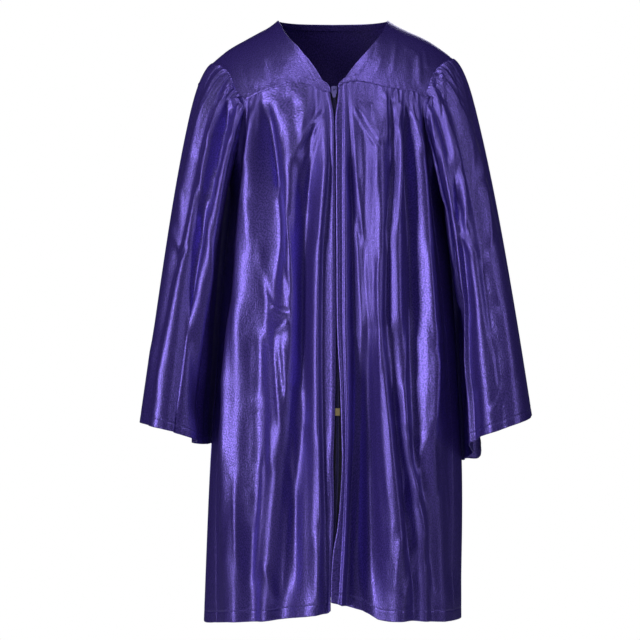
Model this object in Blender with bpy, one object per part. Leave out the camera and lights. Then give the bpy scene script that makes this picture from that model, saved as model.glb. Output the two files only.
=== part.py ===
"""A child's satin graduation gown, filled out as if worn, with its zip done up.

The cloth is a thin wall everywhere. A front and a back shell of the torso carry the yoke, the two
fronts and the gathered back. The sleeves are tubes that start on the same armhole curve as those
pieces and end at the cuffs. Sizes are in millimetres, and mesh_object turns them into metres.
+X is the wearer's left, -Y is the front and +Z is up. The origin lies between the two points
where the shoulder seams meet the neckline.
"""

import math

import bmesh
import bpy
import numpy as np

METRES_PER_MM = 0.001

# Driving sizes
CLOTH = 1.2  # thickness of the cloth walls
TAPE = 0.8  # thickness of the zip's tapes
SEAM_GAP = 0.6  # between two pieces at a seam
LAYER_GAP = 0.4  # between the zip and the fronts that cover it
HEM_SIDE = -762.0  # height of the hem at the side seams
CHEST = -150.0  # height where the shoulders' rounding ends
UNDERARM = -203.0
SHARPNESS = 2.3  # exponent of the torso's oval sections, 2 for an ellipse

SATIN = ("satin", (0.062, 0.045, 0.235), 0.32, 0.0)
TAPE_CLOTH = ("zip tape", (0.045, 0.035, 0.140), 0.7, 0.0)
NYLON = ("nylon coil", (0.060, 0.050, 0.160), 0.5, 0.0)
ENAMEL = ("enamelled zinc", (0.130, 0.100, 0.380), 0.35, 0.4)
BRASS = ("brass", (0.560, 0.430, 0.170), 0.35, 1.0)

# Oval sections of the torso: height, half widths to the wearer's right and left, depths
BODY_SECTIONS = np.array(
    [
        # height, right, left, front, back
        (-40.0, 154.0, 152.5, 84.0, 78.0),
        (-100.0, 148.0, 151.0, 88.0, 80.0),
        (-150.0, 138.5, 147.0, 92.0, 85.0),
        (-203.0, 131.0, 141.0, 95.0, 88.0),
        (-330.0, 140.0, 151.0, 101.0, 95.0),
        (-456.0, 149.0, 158.5, 108.0, 102.0),
        (-546.0, 155.0, 163.0, 113.0, 107.0),
        (-762.0, 164.0, 162.5, 120.0, 116.0),
    ]
)

# Height of the shoulders, and of the base of the neck between them, by distance from the centre
SHOULDER_LINE = np.array(
    [
        # distance, right, left
        (0.0, 53.0, 53.0),
        (40.0, 33.0, 33.0),
        (70.0, 0.0, 0.0),
        (82.0, -9.2, -7.6),
        (93.0, -15.1, -13.0),
        (113.0, -26.0, -21.9),
        (123.0, -31.4, -27.2),
        (133.0, -37.5, -33.7),
        (143.5, -45.6, -41.2),
        (152.0, -53.0, -48.3),
        (160.0, -60.0, -55.0),
    ]
)
NECK_POINT = 70.0  # from the centre to where the neckline meets the shoulder seam
BACK_NECK_RISE = 1.0

# Armhole from the shoulder tip to the underarm: distance and height on the right and the left
ARMHOLE = np.array(
    [
        # right distance, right height, left distance, left height
        (152.4, -54.0, 151.0, -48.5),
        (140.5, -60.5, 136.0, -58.0),
        (129.0, -72.0, 124.0, -73.5),
        (123.0, -91.0, 117.5, -91.0),
        (110.0, -106.2, 114.8, -104.0),
        (113.5, -133.0, 113.8, -131.0),
        (118.0, -158.0, 118.5, -159.0),
        (124.5, -184.0, 130.5, -186.0),
        (131.0, UNDERARM, 141.0, UNDERARM),
    ]
)
ARMHOLE_CORNER = 0.5  # where the yoke seam meets it, as a share of its points

# The edge of the yoke from the neck point down the V to the zip: distance and height
NECK_EDGE = {
    -1: np.array(
        [
            (NECK_POINT, 0.0),
            (62.8, -17.3),
            (55.2, -28.8),
            (43.8, -40.5),
            (36.4, -50.4),
            (29.5, -58.3),
            (20.8, -71.1),
            (12.8, -85.0),
            (8.0, -86.9),
            (4.8, -91.5),
            (3.6, -98.5),
        ]
    ),
    1: np.array(
        [
            (NECK_POINT, 0.0),
            (63.6, -18.6),
            (53.9, -31.5),
            (43.1, -45.1),
            (31.2, -58.2),
            (21.2, -71.1),
            (13.1, -82.0),
            (9.4, -84.5),
            (6.2, -88.0),
            (5.7, -93.5),
        ]
    ),
}

# The yoke seam, from the zip to the armhole: distance and height
YOKE_SEAM = {
    -1: np.array(
        [
            (3.6, -98.5),
            (11.6, -97.7),
            (22.7, -92.6),
            (35.0, -87.2),
            (49.9, -85.0),
            (69.8, -90.5),
            (93.5, -98.5),
            (110.0, -106.2),
        ]
    ),
    1: np.array(
        [
            (5.7, -93.5),
            (9.4, -89.6),
            (18.1, -86.0),
            (26.7, -84.7),
            (40.4, -86.1),
            (55.2, -89.0),
            (85.2, -93.9),
            (104.0, -96.6),
            (114.0, -104.0),
        ]
    ),
}
BACK_SEAM = -116.0  # height of the back yoke's seam
BACK_CORNER = {-1: 110.0, 1: 113.5}  # distance of the back yoke's lower corners
FADE_IN = 45.0  # over which the gathers grow below the yoke seam
SHOULDER_BAND = 3.0  # depth of the yokes' strip beside the shoulder seam that faces straight up

# Edges of the fronts beside the zip: height, and x of the right and the left front's edge
FRONT_EDGES = np.array(
    [
        # height, right front, left front
        (-88.0, -6.6, 6.4),
        (-106.0, -3.6, 5.4),
        (-122.0, -1.8, 4.4),
        (-171.0, -0.5, 4.3),
        (-294.0, 0.7, 4.8),
        (-404.0, 1.1, 6.1),
        (-460.0, 1.2, 9.0),
        (-513.0, 0.8, 9.8),
        (-555.0, -0.3, 10.7),
        (-595.0, 0.3, 8.6),
        (-636.0, -0.4, 4.7),
        (-663.0, -1.9, -0.2),
        (-688.0, -3.3, -2.3),
        (-762.0, -3.3, -2.3),
    ]
)

# Hem height by distance from the centre, as it hangs
FRONT_HEM = {
    -1: np.array(
        [
            (3.0, -734.5),
            (8.0, -738.0),
            (26.0, -740.0),
            (56.0, -744.5),
            (87.0, -749.0),
            (128.0, -752.4),
            (151.0, -756.5),
            (164.0, -760.5),
        ]
    ),
    1: np.array(
        [
            (-2.5, -724.5),
            (8.0, -728.0),
            (27.0, -732.8),
            (37.0, -735.5),
            (47.0, -740.5),
            (57.0, -747.0),
            (67.0, -748.5),
            (96.0, -748.8),
            (137.0, -753.3),
            (163.0, -755.5),
        ]
    ),
}
BACK_HEM = np.array(
    [(-164.0, -760.5), (-130.0, -752.0), (-80.0, -749.0), (0.0, -746.0), (80.0, -748.0), (163.0, -755.5)]
)

# Fold lines of the fronts, as distances from the centre and relief at seven heights.
# Ridges have relief above 0 and troughs below it.
FOLD_HEIGHTS = np.array([-109.0, -183.0, -282.0, -393.0, -528.0, -637.0, -741.0])
FRONT_FOLDS = {
    -1: [
        # distances, reliefs
        ((8, 5, 12, 13, 12, 8.5, 9.5), (0, -1, -2, -2, -2, -3, -3)),
        ((11.5, 9, 16.5, 20, 19, 18, 21.5), (2, 5, 7, 7, 8, 10, 12)),
        ((20, 28.5, 37.5, 40, 42, 53.5, 65), (-1, -6, -12, -13, -11, -9, -9)),
        ((30.5, 50, 54, 52, 65, 77, 83.5), (2, 7, 9, 9, 7, 5, 4)),
        ((88, 80.5, 69.5, 88, 87.5, 100.5, 100.5), (-4, -13, -9, -3, -4, -5, -5)),
        ((96, 104, 113.5, 117.5, 127.5, 118.5, 120.5), (3, 8, 8, 8, 7, 8, 8)),
        ((110, 116, 127, 136, 148, 150, 147), (-2, -4, -4, -4, -2, -2, -3)),
    ],
    1: [
        ((11.5, 10.5, 10.5, 11, 14.5, 11, 4), (-1, -1, -1, -1, -1, -2, -2)),
        ((14.5, 14, 14, 14.5, 17, 14.5, 9), (1, 1, 1, 1, 1, 1, 1)),
        ((18.5, 22, 24, 26.5, 25, 20.5, 16.5), (-1, -7, -10, -12, -14, -16, -17)),
        ((23, 28.5, 30.5, 36, 37, 33.5, 29), (1, -3, -5, -6, -9, -12, -14)),
        ((30.5, 38.5, 36, 42.5, 45.5, 47.5, 47.5), (0, -1, -4, -6, -11, -15, -16)),
        ((63, 53, 57.5, 55.5, 65.5, 74, 80.5), (4, 10, 9, 10, 11, 10, 8)),
        ((72.5, 74.5, 66.5, 66.5, 79, 94.5, 102), (-1, -2, 1, -1, -3, -5, -5)),
        ((81.5, 83, 78, 80, 88.5, 105.5, 112.5), (4, 6, 7, 7, 8, 5, 3)),
        ((90.5, 93, 99, 99.5, 101.5, 118.5, 123.5), (-3, -12, -13, -12, -3, -4, -3)),
        ((100.5, 109, 114, 119, 119.5, 133, 135), (4, 7, 9, 11, 8, 2, 2)),
        ((114, 121, 133.5, 143, 151, 151.5, 150.5), (-3, -5, -6, -4, -3, -1, -1)),
    ],
}
# Fold lines of the back, as x and relief at four heights
BACK_FOLD_HEIGHTS = np.array([-112.0, -190.0, -430.0, -750.0])
BACK_FOLDS = [
    # x positions, reliefs
    ((-110, -119, -140, -150), (-2, -4, -4, -2)),
    ((-98, -101, -118, -132), (3, 7, 9, 9)),
    ((-84, -86, -97, -110), (-3, -9, -10, -8)),
    ((-70, -69, -76, -90), (3, 7, 8, 7)),
    ((-54, -55, -58, -70), (-4, -9, -11, -11)),
    ((-38, -38, -37, -44), (3, 7, 9, 10)),
    ((-21, -20, -20, -22), (-3, -8, -7, -9)),
    ((-5, -2, 2, -2), (3, 6, 8, 8)),
    ((12, 15, 20, 19), (-3, -8, -11, -9)),
    ((29, 32, 38, 42), (3, 8, 9, 10)),
    ((46, 49, 58, 62), (-4, -9, -9, -10)),
    ((63, 66, 78, 84), (3, 7, 9, 9)),
    ((80, 83, 99, 108), (-3, -8, -10, -9)),
    ((97, 101, 121, 132), (3, 7, 8, 7)),
    ((113.5, 123, 146, 152), (-2, -4, -4, -2)),
]

# The cuffs: angle round the sleeve from its outer side, distance from the centre, y and height
CUFFS = {
    -1: np.array(
        [
            (0, 244, 0, -508),
            (30, 240, -48, -508),
            (60, 226, -88, -510),
            (90, 203, -104, -515),
            (115, 186, -98, -520),
            (130, 174, -72, -528),
            (150, 166, -42, -534),
            (180, 159, 0, -537),
            (210, 152, 50, -536),
            (235, 160, 84, -532),
            (270, 196, 104, -520),
            (305, 224, 90, -511),
            (330, 238, 50, -509),
            (360, 244, 0, -508),
        ],
        float,
    ),
    1: np.array(
        [
            (0, 252, 0, -501),
            (30, 246, -48, -501.6),
            (60, 233, -88, -504.6),
            (90, 211, -104, -512),
            (115, 192, -98, -520),
            (130, 180, -76, -527),
            (150, 174, -44, -545),
            (180, 170, 0, -557),
            (208, 178, 48, -558),
            (226, 189.5, 74, -555),
            (238, 195, 88, -530),
            (270, 214, 106, -518),
            (305, 236, 90, -506),
            (330, 247, 50, -502),
            (360, 252, 0, -501),
        ],
        float,
    ),
}
# Direction in which the sleeve leaves the armhole: outward, forward and up
SLEEVE_LEAVING = np.array(
    [
        # angle, outward, forward, up
        (0.0, 100.0, 0.0, -30.0),
        (45.0, 92.0, 40.0, -55.0),
        (90.0, 75.0, 45.0, -160.0),
        (130.0, 55.0, 15.0, -300.0),
        (180.0, 40.0, 0.0, -300.0),
        (230.0, 55.0, -15.0, -300.0),
        (270.0, 75.0, -45.0, -160.0),
        (315.0, 92.0, -40.0, -55.0),
        (360.0, 100.0, 0.0, -30.0),
    ]
)
# Direction in which it reaches the cuff
SLEEVE_REACHING = np.array(
    [
        # angle, outward, forward, up
        (0.0, 62.0, 0.0, -400.0),
        (90.0, 40.0, 25.0, -380.0),
        (180.0, 18.0, 0.0, -330.0),
        (270.0, 40.0, -25.0, -380.0),
        (360.0, 62.0, 0.0, -400.0),
    ]
)
SLEEVE_SEAM_GAP = 1.6  # off the armhole's edge
SLEEVE_SIDE_GAP = 1.8  # out from the torso low on the armhole
SLEEVE_CLEARANCE = 3.0  # between a sleeve and the torso
SLEEVE_FOLD_STATIONS = np.array([0.0, 0.16, 0.34, 0.62, 1.0])
SLEEVE_FOLDS = {
    -1: [
        # angles from the shoulder round the front, reliefs
        ((12, 14, 12, 10, 10), (0, 2, 1, 0, 0)),
        ((28, 33, 38, 44, 34), (0, 4, 5, 4, 2)),
        ((44, 52, 58, 60, 52), (0, -4, -2, -2, -1)),
        ((60, 68, 77, 76, 70), (0, 5, 7, 7, 6)),
        ((75, 84, 95, 100, 108), (0, -6, -7, -8, -9)),
        ((90, 97, 110, 120, 130), (0, 5, 6, 6, 5)),
        ((112, 122, 138, 146, 150), (0, -12, -20, -20, -10)),
        ((145, 152, 162, 166, 170), (0, -3, -6, -6, -3)),
        ((180, 180, 180, 180, 180), (0, 0, 0, 0, 0)),
        ((222, 218, 212, 208, 206), (0, 3, 4, 4, 4)),
        ((247, 241, 234, 228, 226), (0, -4, -6, -6, -5)),
        ((270, 262, 256, 250, 248), (0, 5, 7, 7, 7)),
        ((285, 281, 276, 272, 270), (0, -5, -6, -7, -7)),
        ((300, 298, 296, 294, 294), (0, 5, 6, 6, 6)),
        ((318, 318, 318, 318, 318), (0, -4, -5, -5, -4)),
        ((340, 339, 340, 340, 340), (0, 4, 4, 4, 3)),
    ],
    1: [
        ((12, 12, 10, 10, 12), (0, 1, 0, 0, 0)),
        ((28, 34, 44, 60, 72), (0, 4, 7, 9, 8)),
        ((45, 60, 76, 84, 98), (0, -6, -7, -5, -4)),
        ((60, 76, 92, 104, 116), (0, 5, 6, 7, 4)),
        ((75, 90, 107, 124, 132), (0, -5, -6, -6, -5)),
        ((90, 104, 116, 128, 136), (0, 4, 5, 5, 4)),
        ((112, 124, 140, 148, 152), (0, -10, -18, -18, -8)),
        ((145, 152, 162, 166, 170), (0, -3, -6, -6, -2)),
        ((180, 180, 180, 180, 180), (0, 0, 0, 0, 0)),
        ((222, 218, 212, 206, 202), (0, 3, 4, 4, 3)),
        ((247, 241, 232, 228, 224), (0, -4, -6, -6, -5)),
        ((270, 262, 254, 252, 248), (0, 5, 7, 8, 8)),
        ((285, 281, 276, 274, 270), (0, -5, -6, -7, -7)),
        ((300, 298, 298, 296, 294), (0, 5, 6, 6, 6)),
        ((318, 318, 320, 318, 318), (0, -4, -5, -5, -4)),
        ((340, 339, 340, 340, 340), (0, 4, 4, 3, 3)),
    ],
}

# How finely each piece is meshed
FRONT_ROWS = 18
BACK_ROWS = 14
YOKE_DOWN = (0, 0.02, 0.06, 0.12, 0.21, 0.33, 0.47, 0.62, 0.75, 0.85, 0.93, 1)
YOKE_ACROSS = (0, 0.045, 0.075, 0.13, 0.2, 0.28, 0.37, 0.46, 0.55, 0.64, 0.73, 0.82, 0.88, 0.94, 1)
BACK_YOKE_COLUMNS = 12  # from the centre to each armhole
SLEEVE_ROWS = 13
BETWEEN_FOLDS = (0.0, 0.3, 0.7)  # places of the columns between two fold lines
ARMHOLE_COLUMNS = (0.12, 0.3, 0.5, 0.75, 1.0)

# Zip, with depths measured in from the torso's surface and its folds
CHAIN_CENTRE = np.array(
    [
        # height, x
        (-90.0, 0.9),
        (-120.0, 1.2),
        (-300.0, 2.6),
        (-490.0, 4.9),
        (-540.0, 5.0),
        (-684.0, -1.5),
    ]
)
CHAIN_HALF_WIDTH = 2.0
CHAIN_DEPTH = (2.1, 3.7)
TAPE_HALF_WIDTH = 11.0
TAPE_DEPTH = (4.3, 5.1)
TAPE_MIDDLE_GAP = 0.3  # from the chain's middle to a tape
ZIP_TOP = -97.0
ZIP_END = -684.0
ZIP_ROWS = 30
STOP_HEIGHT = -492.5
STOP_LENGTH = 9.0
STOP_HALF_WIDTH = 2.85
STOP_WALL = 0.55
STOP_FRONT = 1.0
PULL_HEIGHT = -93.5  # of the pull tab's hinge
PULL_OUT = 0.2  # from the torso's surface out to the hinge
SLIDER_HALF_WIDTH = 3.4
SLIDER_PROFILE = (
    # height above the hinge, distance out
    (2.4, -0.7),
    (2.4, -6.5),
    (-6.6, -6.5),
    (-6.6, -5.5),
    (-0.2, -5.5),
    (-0.2, -1.7),
    (-6.6, -1.7),
    (-6.6, -0.7),
)
CROWN_HALF_WIDTH = 0.8
CROWN_PROFILE = (
    (2.3, -1.0),
    (2.3, 1.2),
    (1.6, 1.9),
    (-1.6, 1.9),
    (-2.3, 1.2),
    (-2.3, -1.0),
    (-1.5, -1.0),
    (-1.5, 1.1),
    (1.5, 1.1),
    (1.5, -1.0),
)
TAB_THICKNESS = 1.0
TAB_OUTLINE = ((0.5, 2.7), (-4.2, 2.75), (-10.6, 2.1), (-12.0, 1.5), (-12.4, 0.8))
TAB_WINDOW = (-0.5, -3.9, 1.3)


def smooth(stations, values, at):
    """A smooth curve through values at the stations, read at the given places."""
    stations = np.asarray(stations, float)
    values = np.asarray(values, float)
    if stations[0] > stations[-1]:
        stations, values = stations[::-1], values[::-1]
    slopes = np.gradient(values, stations)
    at = np.clip(np.asarray(at, float), stations[0], stations[-1])
    place = np.clip(np.searchsorted(stations, at) - 1, 0, len(stations) - 2)
    step = stations[place + 1] - stations[place]
    t = (at - stations[place]) / step
    return (
        values[place] * (2 * t**3 - 3 * t**2 + 1)
        + slopes[place] * step * (t**3 - 2 * t**2 + t)
        + values[place + 1] * (3 * t**2 - 2 * t**3)
        + slopes[place + 1] * step * (t**3 - t**2)
    )


def half_width(z, side):
    right = smooth(BODY_SECTIONS[:, 0], BODY_SECTIONS[:, 1], z)
    left = smooth(BODY_SECTIONS[:, 0], BODY_SECTIONS[:, 2], z)
    return np.where(np.asarray(side) < 0, right, left)


def shoulder_height(distance, side):
    right = smooth(SHOULDER_LINE[:, 0], SHOULDER_LINE[:, 1], distance)
    left = smooth(SHOULDER_LINE[:, 0], SHOULDER_LINE[:, 2], distance)
    return np.where(np.asarray(side) < 0, right, left)


def depth(z, back):
    front = smooth(BODY_SECTIONS[:, 0], BODY_SECTIONS[:, 3], z)
    rear = smooth(BODY_SECTIONS[:, 0], BODY_SECTIONS[:, 4], z)
    return np.where(back, rear, front)


def angle_at(x, z):
    """Angle round the torso, from the centre line to 90 at the side seam, with the sign of x."""
    share = np.clip(np.abs(x) / half_width(z, x), 0, 1)
    return np.sign(x) * np.degrees(np.arcsin(np.sqrt(share**SHARPNESS)))


def torso(angle, z, back=False):
    """A point on the smooth torso. Angles run to 90 at the wearer's left, -90 at the right."""
    angle, z = np.broadcast_arrays(np.radians(angle), np.asarray(z, float))
    x = np.sign(angle) * half_width(z, angle) * np.abs(np.sin(angle)) ** (2 / SHARPNESS)
    top = shoulder_height(np.abs(x), x)
    rise = np.clip((z - CHEST) / (top - CHEST), 0, 1)
    y = depth(z, back) * np.abs(np.cos(angle)) ** (2 / SHARPNESS) * np.sqrt(1 - rise**2)
    return np.stack([x, np.where(back, y, -y), z], axis=-1)


def torso_normal(angle, z, back=False):
    """Outward direction of the smooth torso."""
    angle = np.clip(angle, -89.4, 89.4)
    step = 0.3
    across = torso(angle + step, z, back) - torso(angle - step, z, back)
    up = torso(angle, z + step, back) - torso(angle, z - step, back)
    normal = np.cross(across, up)
    normal = normal / np.maximum(np.linalg.norm(normal, axis=-1, keepdims=True), 1e-9)
    facing = torso(angle, z, back) - np.array([0.0, 0.0, CHEST - 40.0])
    facing[..., 2] *= 0.3
    return normal * np.sign((normal * facing).sum(-1, keepdims=True))


def armhole(place, side, back=False):
    """Angle and height on the armhole, from 0 at the shoulder tip to 1 at the underarm."""
    stations = np.linspace(0, 1, len(ARMHOLE))
    column = 0 if side < 0 else 2
    x = smooth(stations, ARMHOLE[:, column], place)
    z = smooth(stations, ARMHOLE[:, column + 1], place)
    if back:
        z = z - 10.0 * np.sin(np.pi * np.clip(np.asarray(place, float), 0, 1)) ** 2
    angle = side * np.abs(angle_at(x * side, z))
    ends = (np.asarray(place) <= 0) | (np.asarray(place) >= 1)
    return np.where(ends, side * 90.0, angle), z


def ramp(count, power=1.0):
    return np.linspace(0, 1, count) ** power


def wave(start, end, share):
    """From start to end along half a cosine, as a soft fold runs from a ridge to a trough."""
    return start + (end - start) * (1 - np.cos(np.pi * share)) / 2


def grid_normals(points, closed=False):
    """Direction across a grid of points, from its neighbours along rows and columns."""
    if closed:
        across = np.roll(points, -1, 1) - np.roll(points, 1, 1)
    else:
        across = np.gradient(points, axis=1)
    down = np.gradient(points, axis=0)
    normals = np.cross(across, down)
    return normals / np.maximum(np.linalg.norm(normals, axis=-1, keepdims=True), 1e-9)


def material(look):
    name, colour, roughness, metallic = look
    if name in bpy.data.materials:
        return bpy.data.materials[name]
    made = bpy.data.materials.new(name)
    made.use_nodes = True
    shader = made.node_tree.nodes["Principled BSDF"]
    shader.inputs["Base Color"].default_value = (*colour, 1)
    shader.inputs["Roughness"].default_value = roughness
    shader.inputs["Metallic"].default_value = metallic
    made.diffuse_color = (*colour, 1)
    return made


def finish_mesh(name, bm, look, place=(0, 0, 0)):
    """Turns millimetres into metres and makes the object, with its faces pointing out."""
    if bm.calc_volume(signed=True) < 0:
        bmesh.ops.reverse_faces(bm, faces=bm.faces)
    bmesh.ops.scale(bm, vec=(METRES_PER_MM,) * 3, verts=bm.verts)
    mesh = bpy.data.meshes.new(name)
    bm.to_mesh(mesh)
    bm.free()
    mesh.shade_smooth()
    mesh.set_sharp_from_angle(angle=math.radians(50))
    mesh.materials.append(material(look))
    obj = bpy.data.objects.new(name, mesh)
    obj.location = [c * METRES_PER_MM for c in place]
    bpy.context.scene.collection.objects.link(obj)
    return obj


def wall(name, outer, inner, look, closed=False):
    """A closed wall between two matching grids of points, cut into triangles the same way."""
    bm = bmesh.new()
    rows, columns = outer.shape[:2]
    sheets = [[[bm.verts.new(p) for p in row] for row in grid] for grid in (outer, inner)]
    last = columns if closed else columns - 1

    def quad(a, b, c, d):
        bm.faces.new((a, b, c))
        bm.faces.new((a, c, d))

    front, rear = sheets
    for i in range(rows - 1):
        for j in range(last):
            k = (j + 1) % columns
            quad(front[i][j], front[i + 1][j], front[i + 1][k], front[i][k])
            bm.faces.new((rear[i][j], rear[i + 1][k], rear[i + 1][j]))
            bm.faces.new((rear[i][j], rear[i][k], rear[i + 1][k]))
    for j in range(last):
        k = (j + 1) % columns
        quad(front[0][j], front[0][k], rear[0][k], rear[0][j])
        quad(front[-1][k], front[-1][j], rear[-1][j], rear[-1][k])
    if not closed:
        for i in range(rows - 1):
            quad(front[i + 1][0], front[i][0], rear[i][0], rear[i + 1][0])
            quad(front[i][-1], front[i + 1][-1], rear[i + 1][-1], rear[i][-1])
    bmesh.ops.recalc_face_normals(bm, faces=bm.faces)
    return finish_mesh(name, bm, look)


def fold_profile(folds, heights, column, z):
    """Position and relief of a column between two fold lines, at the heights z."""
    index = int(column)
    share = column - index
    near = folds[index]
    far = folds[min(index + 1, len(folds) - 1)]
    here = smooth(heights, near[0], z)
    there = smooth(heights, far[0], z)
    relief = wave(smooth(heights, near[1], z), smooth(heights, far[1], z), share)
    return here, there, share, relief


def front_columns(side):
    """Columns of a front: its edge, the fold lines with points between them, and the armhole."""
    folds = FRONT_FOLDS[side]
    columns = [("edge", 0.0), ("edge", 0.5)]
    for index in range(len(folds) - 1):
        columns += [("fold", index + share) for share in BETWEEN_FOLDS]
    columns.append(("fold", len(folds) - 1.0))
    columns += [("armhole", share) for share in ARMHOLE_COLUMNS]
    return columns


def front_place(side, kind, column, z):
    """Angle round the torso and relief of one column of a front, at the heights z."""
    folds = FRONT_FOLDS[side]
    edge_x = smooth(FRONT_EDGES[:, 0], FRONT_EDGES[:, 1 if side < 0 else 2], z)
    if kind == "edge":
        first = side * smooth(FOLD_HEIGHTS, folds[0][0], z)
        x = edge_x + (first - edge_x) * column
        relief = wave(0.0, smooth(FOLD_HEIGHTS, folds[0][1], z), column)
        return angle_at(x, z), relief
    if kind == "fold":
        here, there, share, relief = fold_profile(folds, FOLD_HEIGHTS, column, z)
        start, end = angle_at(side * here, z), angle_at(side * there, z)
        return start + (end - start) * share, relief
    start = angle_at(side * smooth(FOLD_HEIGHTS, folds[-1][0], z), z)
    relief = wave(smooth(FOLD_HEIGHTS, folds[-1][1], z), 0.0, column)
    return start + (side * 90.0 - start) * column, relief


def seam_height(side, x):
    seam = YOKE_SEAM[side]
    return smooth(seam[:, 0], seam[:, 1], np.abs(x))


def column_top(side, kind, column):
    """Height where a column of a front meets the yoke seam or the armhole."""
    if kind != "armhole":
        z = -90.0
        for _ in range(12):
            angle, _relief = front_place(side, kind, column, z)
            z = float(seam_height(side, torso(angle, z)[..., 0]))
        return z
    low, high = ARMHOLE_CORNER, 1.0
    for _ in range(40):
        middle = (low + high) / 2
        angle, z = armhole(middle, side)
        beyond = abs(front_place(side, kind, column, z)[0]) > abs(angle)
        low, high = (middle, high) if beyond else (low, middle)
    return float(armhole((low + high) / 2, side)[1])


def panel_wall(name, angles, heights, reliefs, back, look=SATIN):
    """A wall on the torso with folds. Its top edge and sides keep the torso's own direction."""
    base = torso(angles, heights, back)
    direction = torso_normal(angles, heights, back)
    outer = base + direction * reliefs[..., None]
    normals = grid_normals(outer)
    normals *= np.sign((normals * direction).sum(-1, keepdims=True))
    for edge in (np.s_[0, :], np.s_[:, 0], np.s_[:, -1]):
        normals[edge] = direction[edge]
    return wall(name, outer, outer - CLOTH * normals, look)


def front_grid(side):
    columns = front_columns(side)
    rows = ramp(FRONT_ROWS, 1.25)
    shape = (FRONT_ROWS, len(columns))
    angles, heights, reliefs = np.zeros(shape), np.zeros(shape), np.zeros(shape)
    for j, (kind, column) in enumerate(columns):
        top = column_top(side, kind, column) - SEAM_GAP / 2
        angle, _relief = front_place(side, kind, column, HEM_SIDE)
        hem_x = side * torso(angle, HEM_SIDE)[..., 0]
        hem = float(np.interp(hem_x, FRONT_HEM[side][:, 0], FRONT_HEM[side][:, 1]))
        heights[:, j] = top + (hem - top) * rows
        angles[:, j], reliefs[:, j] = front_place(side, kind, column, heights[:, j])
        fade_in = np.clip((top - heights[:, j]) / FADE_IN, 0, 1)
        reliefs[:, j] *= np.sin(fade_in * math.pi / 2)
    limit = 90.0 - math.degrees(SEAM_GAP / 2 / 100.0)
    return np.clip(angles, -limit, limit), heights, reliefs


def make_front(name, side):
    angles, heights, reliefs = front_grid(side)
    return panel_wall(name, angles, heights, reliefs, False)


def back_place(column, z):
    """Angle and relief of a column of the back, from the right side seam to the left."""
    count = len(BACK_FOLDS)
    if column < 1:
        end = angle_at(smooth(BACK_FOLD_HEIGHTS, BACK_FOLDS[0][0], z), z)
        relief = wave(0.0, smooth(BACK_FOLD_HEIGHTS, BACK_FOLDS[0][1], z), column)
        return -90.0 + (end + 90.0) * column, relief
    if column > count:
        start = angle_at(smooth(BACK_FOLD_HEIGHTS, BACK_FOLDS[-1][0], z), z)
        share = column - count
        relief = wave(smooth(BACK_FOLD_HEIGHTS, BACK_FOLDS[-1][1], z), 0.0, share)
        return start + (90.0 - start) * share, relief
    here, there, share, relief = fold_profile(BACK_FOLDS, BACK_FOLD_HEIGHTS, column - 1, z)
    start, end = angle_at(here, z), angle_at(there, z)
    return start + (end - start) * share, relief


def back_top(column):
    count = len(BACK_FOLDS)
    if 1 <= column <= count:
        return BACK_SEAM
    side = -1 if column < 1 else 1
    low, high = ARMHOLE_CORNER, 1.0
    for _ in range(40):
        middle = (low + high) / 2
        angle, z = armhole(middle, side, True)
        beyond = abs(back_place(column, z)[0]) > abs(angle)
        low, high = (middle, high) if beyond else (low, middle)
    return float(armhole((low + high) / 2, side, True)[1])


def make_back():
    count = len(BACK_FOLDS)
    columns = [1 - share for share in reversed(ARMHOLE_COLUMNS)]
    for index in range(1, count):
        columns += [index + share for share in BETWEEN_FOLDS]
    columns.append(float(count))
    columns += [count + share for share in ARMHOLE_COLUMNS]
    rows = ramp(BACK_ROWS, 1.25)
    shape = (BACK_ROWS, len(columns))
    angles, heights, reliefs = np.zeros(shape), np.zeros(shape), np.zeros(shape)
    for j, column in enumerate(columns):
        top = back_top(column) - SEAM_GAP / 2
        angle, _relief = back_place(column, HEM_SIDE)
        hem_x = torso(angle, HEM_SIDE, True)[..., 0]
        hem = float(np.interp(hem_x, BACK_HEM[:, 0], BACK_HEM[:, 1]))
        heights[:, j] = top + (hem - top) * rows
        angles[:, j], reliefs[:, j] = back_place(column, heights[:, j])
        fade_in = np.clip((top - heights[:, j]) / FADE_IN, 0, 1)
        reliefs[:, j] *= np.sin(fade_in * math.pi / 2)
    limit = 90.0 - math.degrees(SEAM_GAP / 2 / 100.0)
    return panel_wall("back", np.clip(angles, -limit, limit), heights, reliefs, True)


def line(points, places):
    """Points along a broken line, at shares of its length."""
    steps = np.linalg.norm(np.diff(points, axis=0), axis=1)
    along = np.concatenate([[0], np.cumsum(steps)]) / steps.sum()
    return np.stack([np.interp(places, along, points[:, i]) for i in range(2)], axis=-1)


def make_front_yoke(name, side):
    """A yoke from the shoulder seam to the gathers, blended between its four edges."""
    across = np.array(YOKE_ACROSS, float)
    down = np.array(YOKE_DOWN, float)
    tip = ARMHOLE[0, 0 if side < 0 else 2]
    top_x = NECK_POINT + (tip - NECK_POINT) * across
    top = np.stack([top_x, shoulder_height(top_x, side)], -1)
    bottom = line(YOKE_SEAM[side], across)
    bottom[:, 1] = seam_height(side, bottom[:, 0]) + SEAM_GAP / 2
    inner = line(NECK_EDGE[side], down)
    inner[-1] = bottom[0]
    angle, z = armhole(down * ARMHOLE_CORNER, side)
    outer = np.stack([np.abs(torso(angle, z)[..., 0]), z], -1)
    outer[-1] = bottom[-1]
    outer[0] = top[-1]
    u, v = across[None, :, None], down[:, None, None]
    patch = (
        (1 - v) * top[None]
        + v * bottom[None]
        + (1 - u) * inner[:, None]
        + u * outer[:, None]
        - (1 - u) * (1 - v) * top[0]
        - u * (1 - v) * top[-1]
        - (1 - u) * v * bottom[0]
        - u * v * bottom[-1]
    )
    angles = angle_at(side * patch[..., 0], patch[..., 1])
    return yoke_wall(name, angles, patch[..., 1], patch[..., 0] * side, False)


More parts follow.
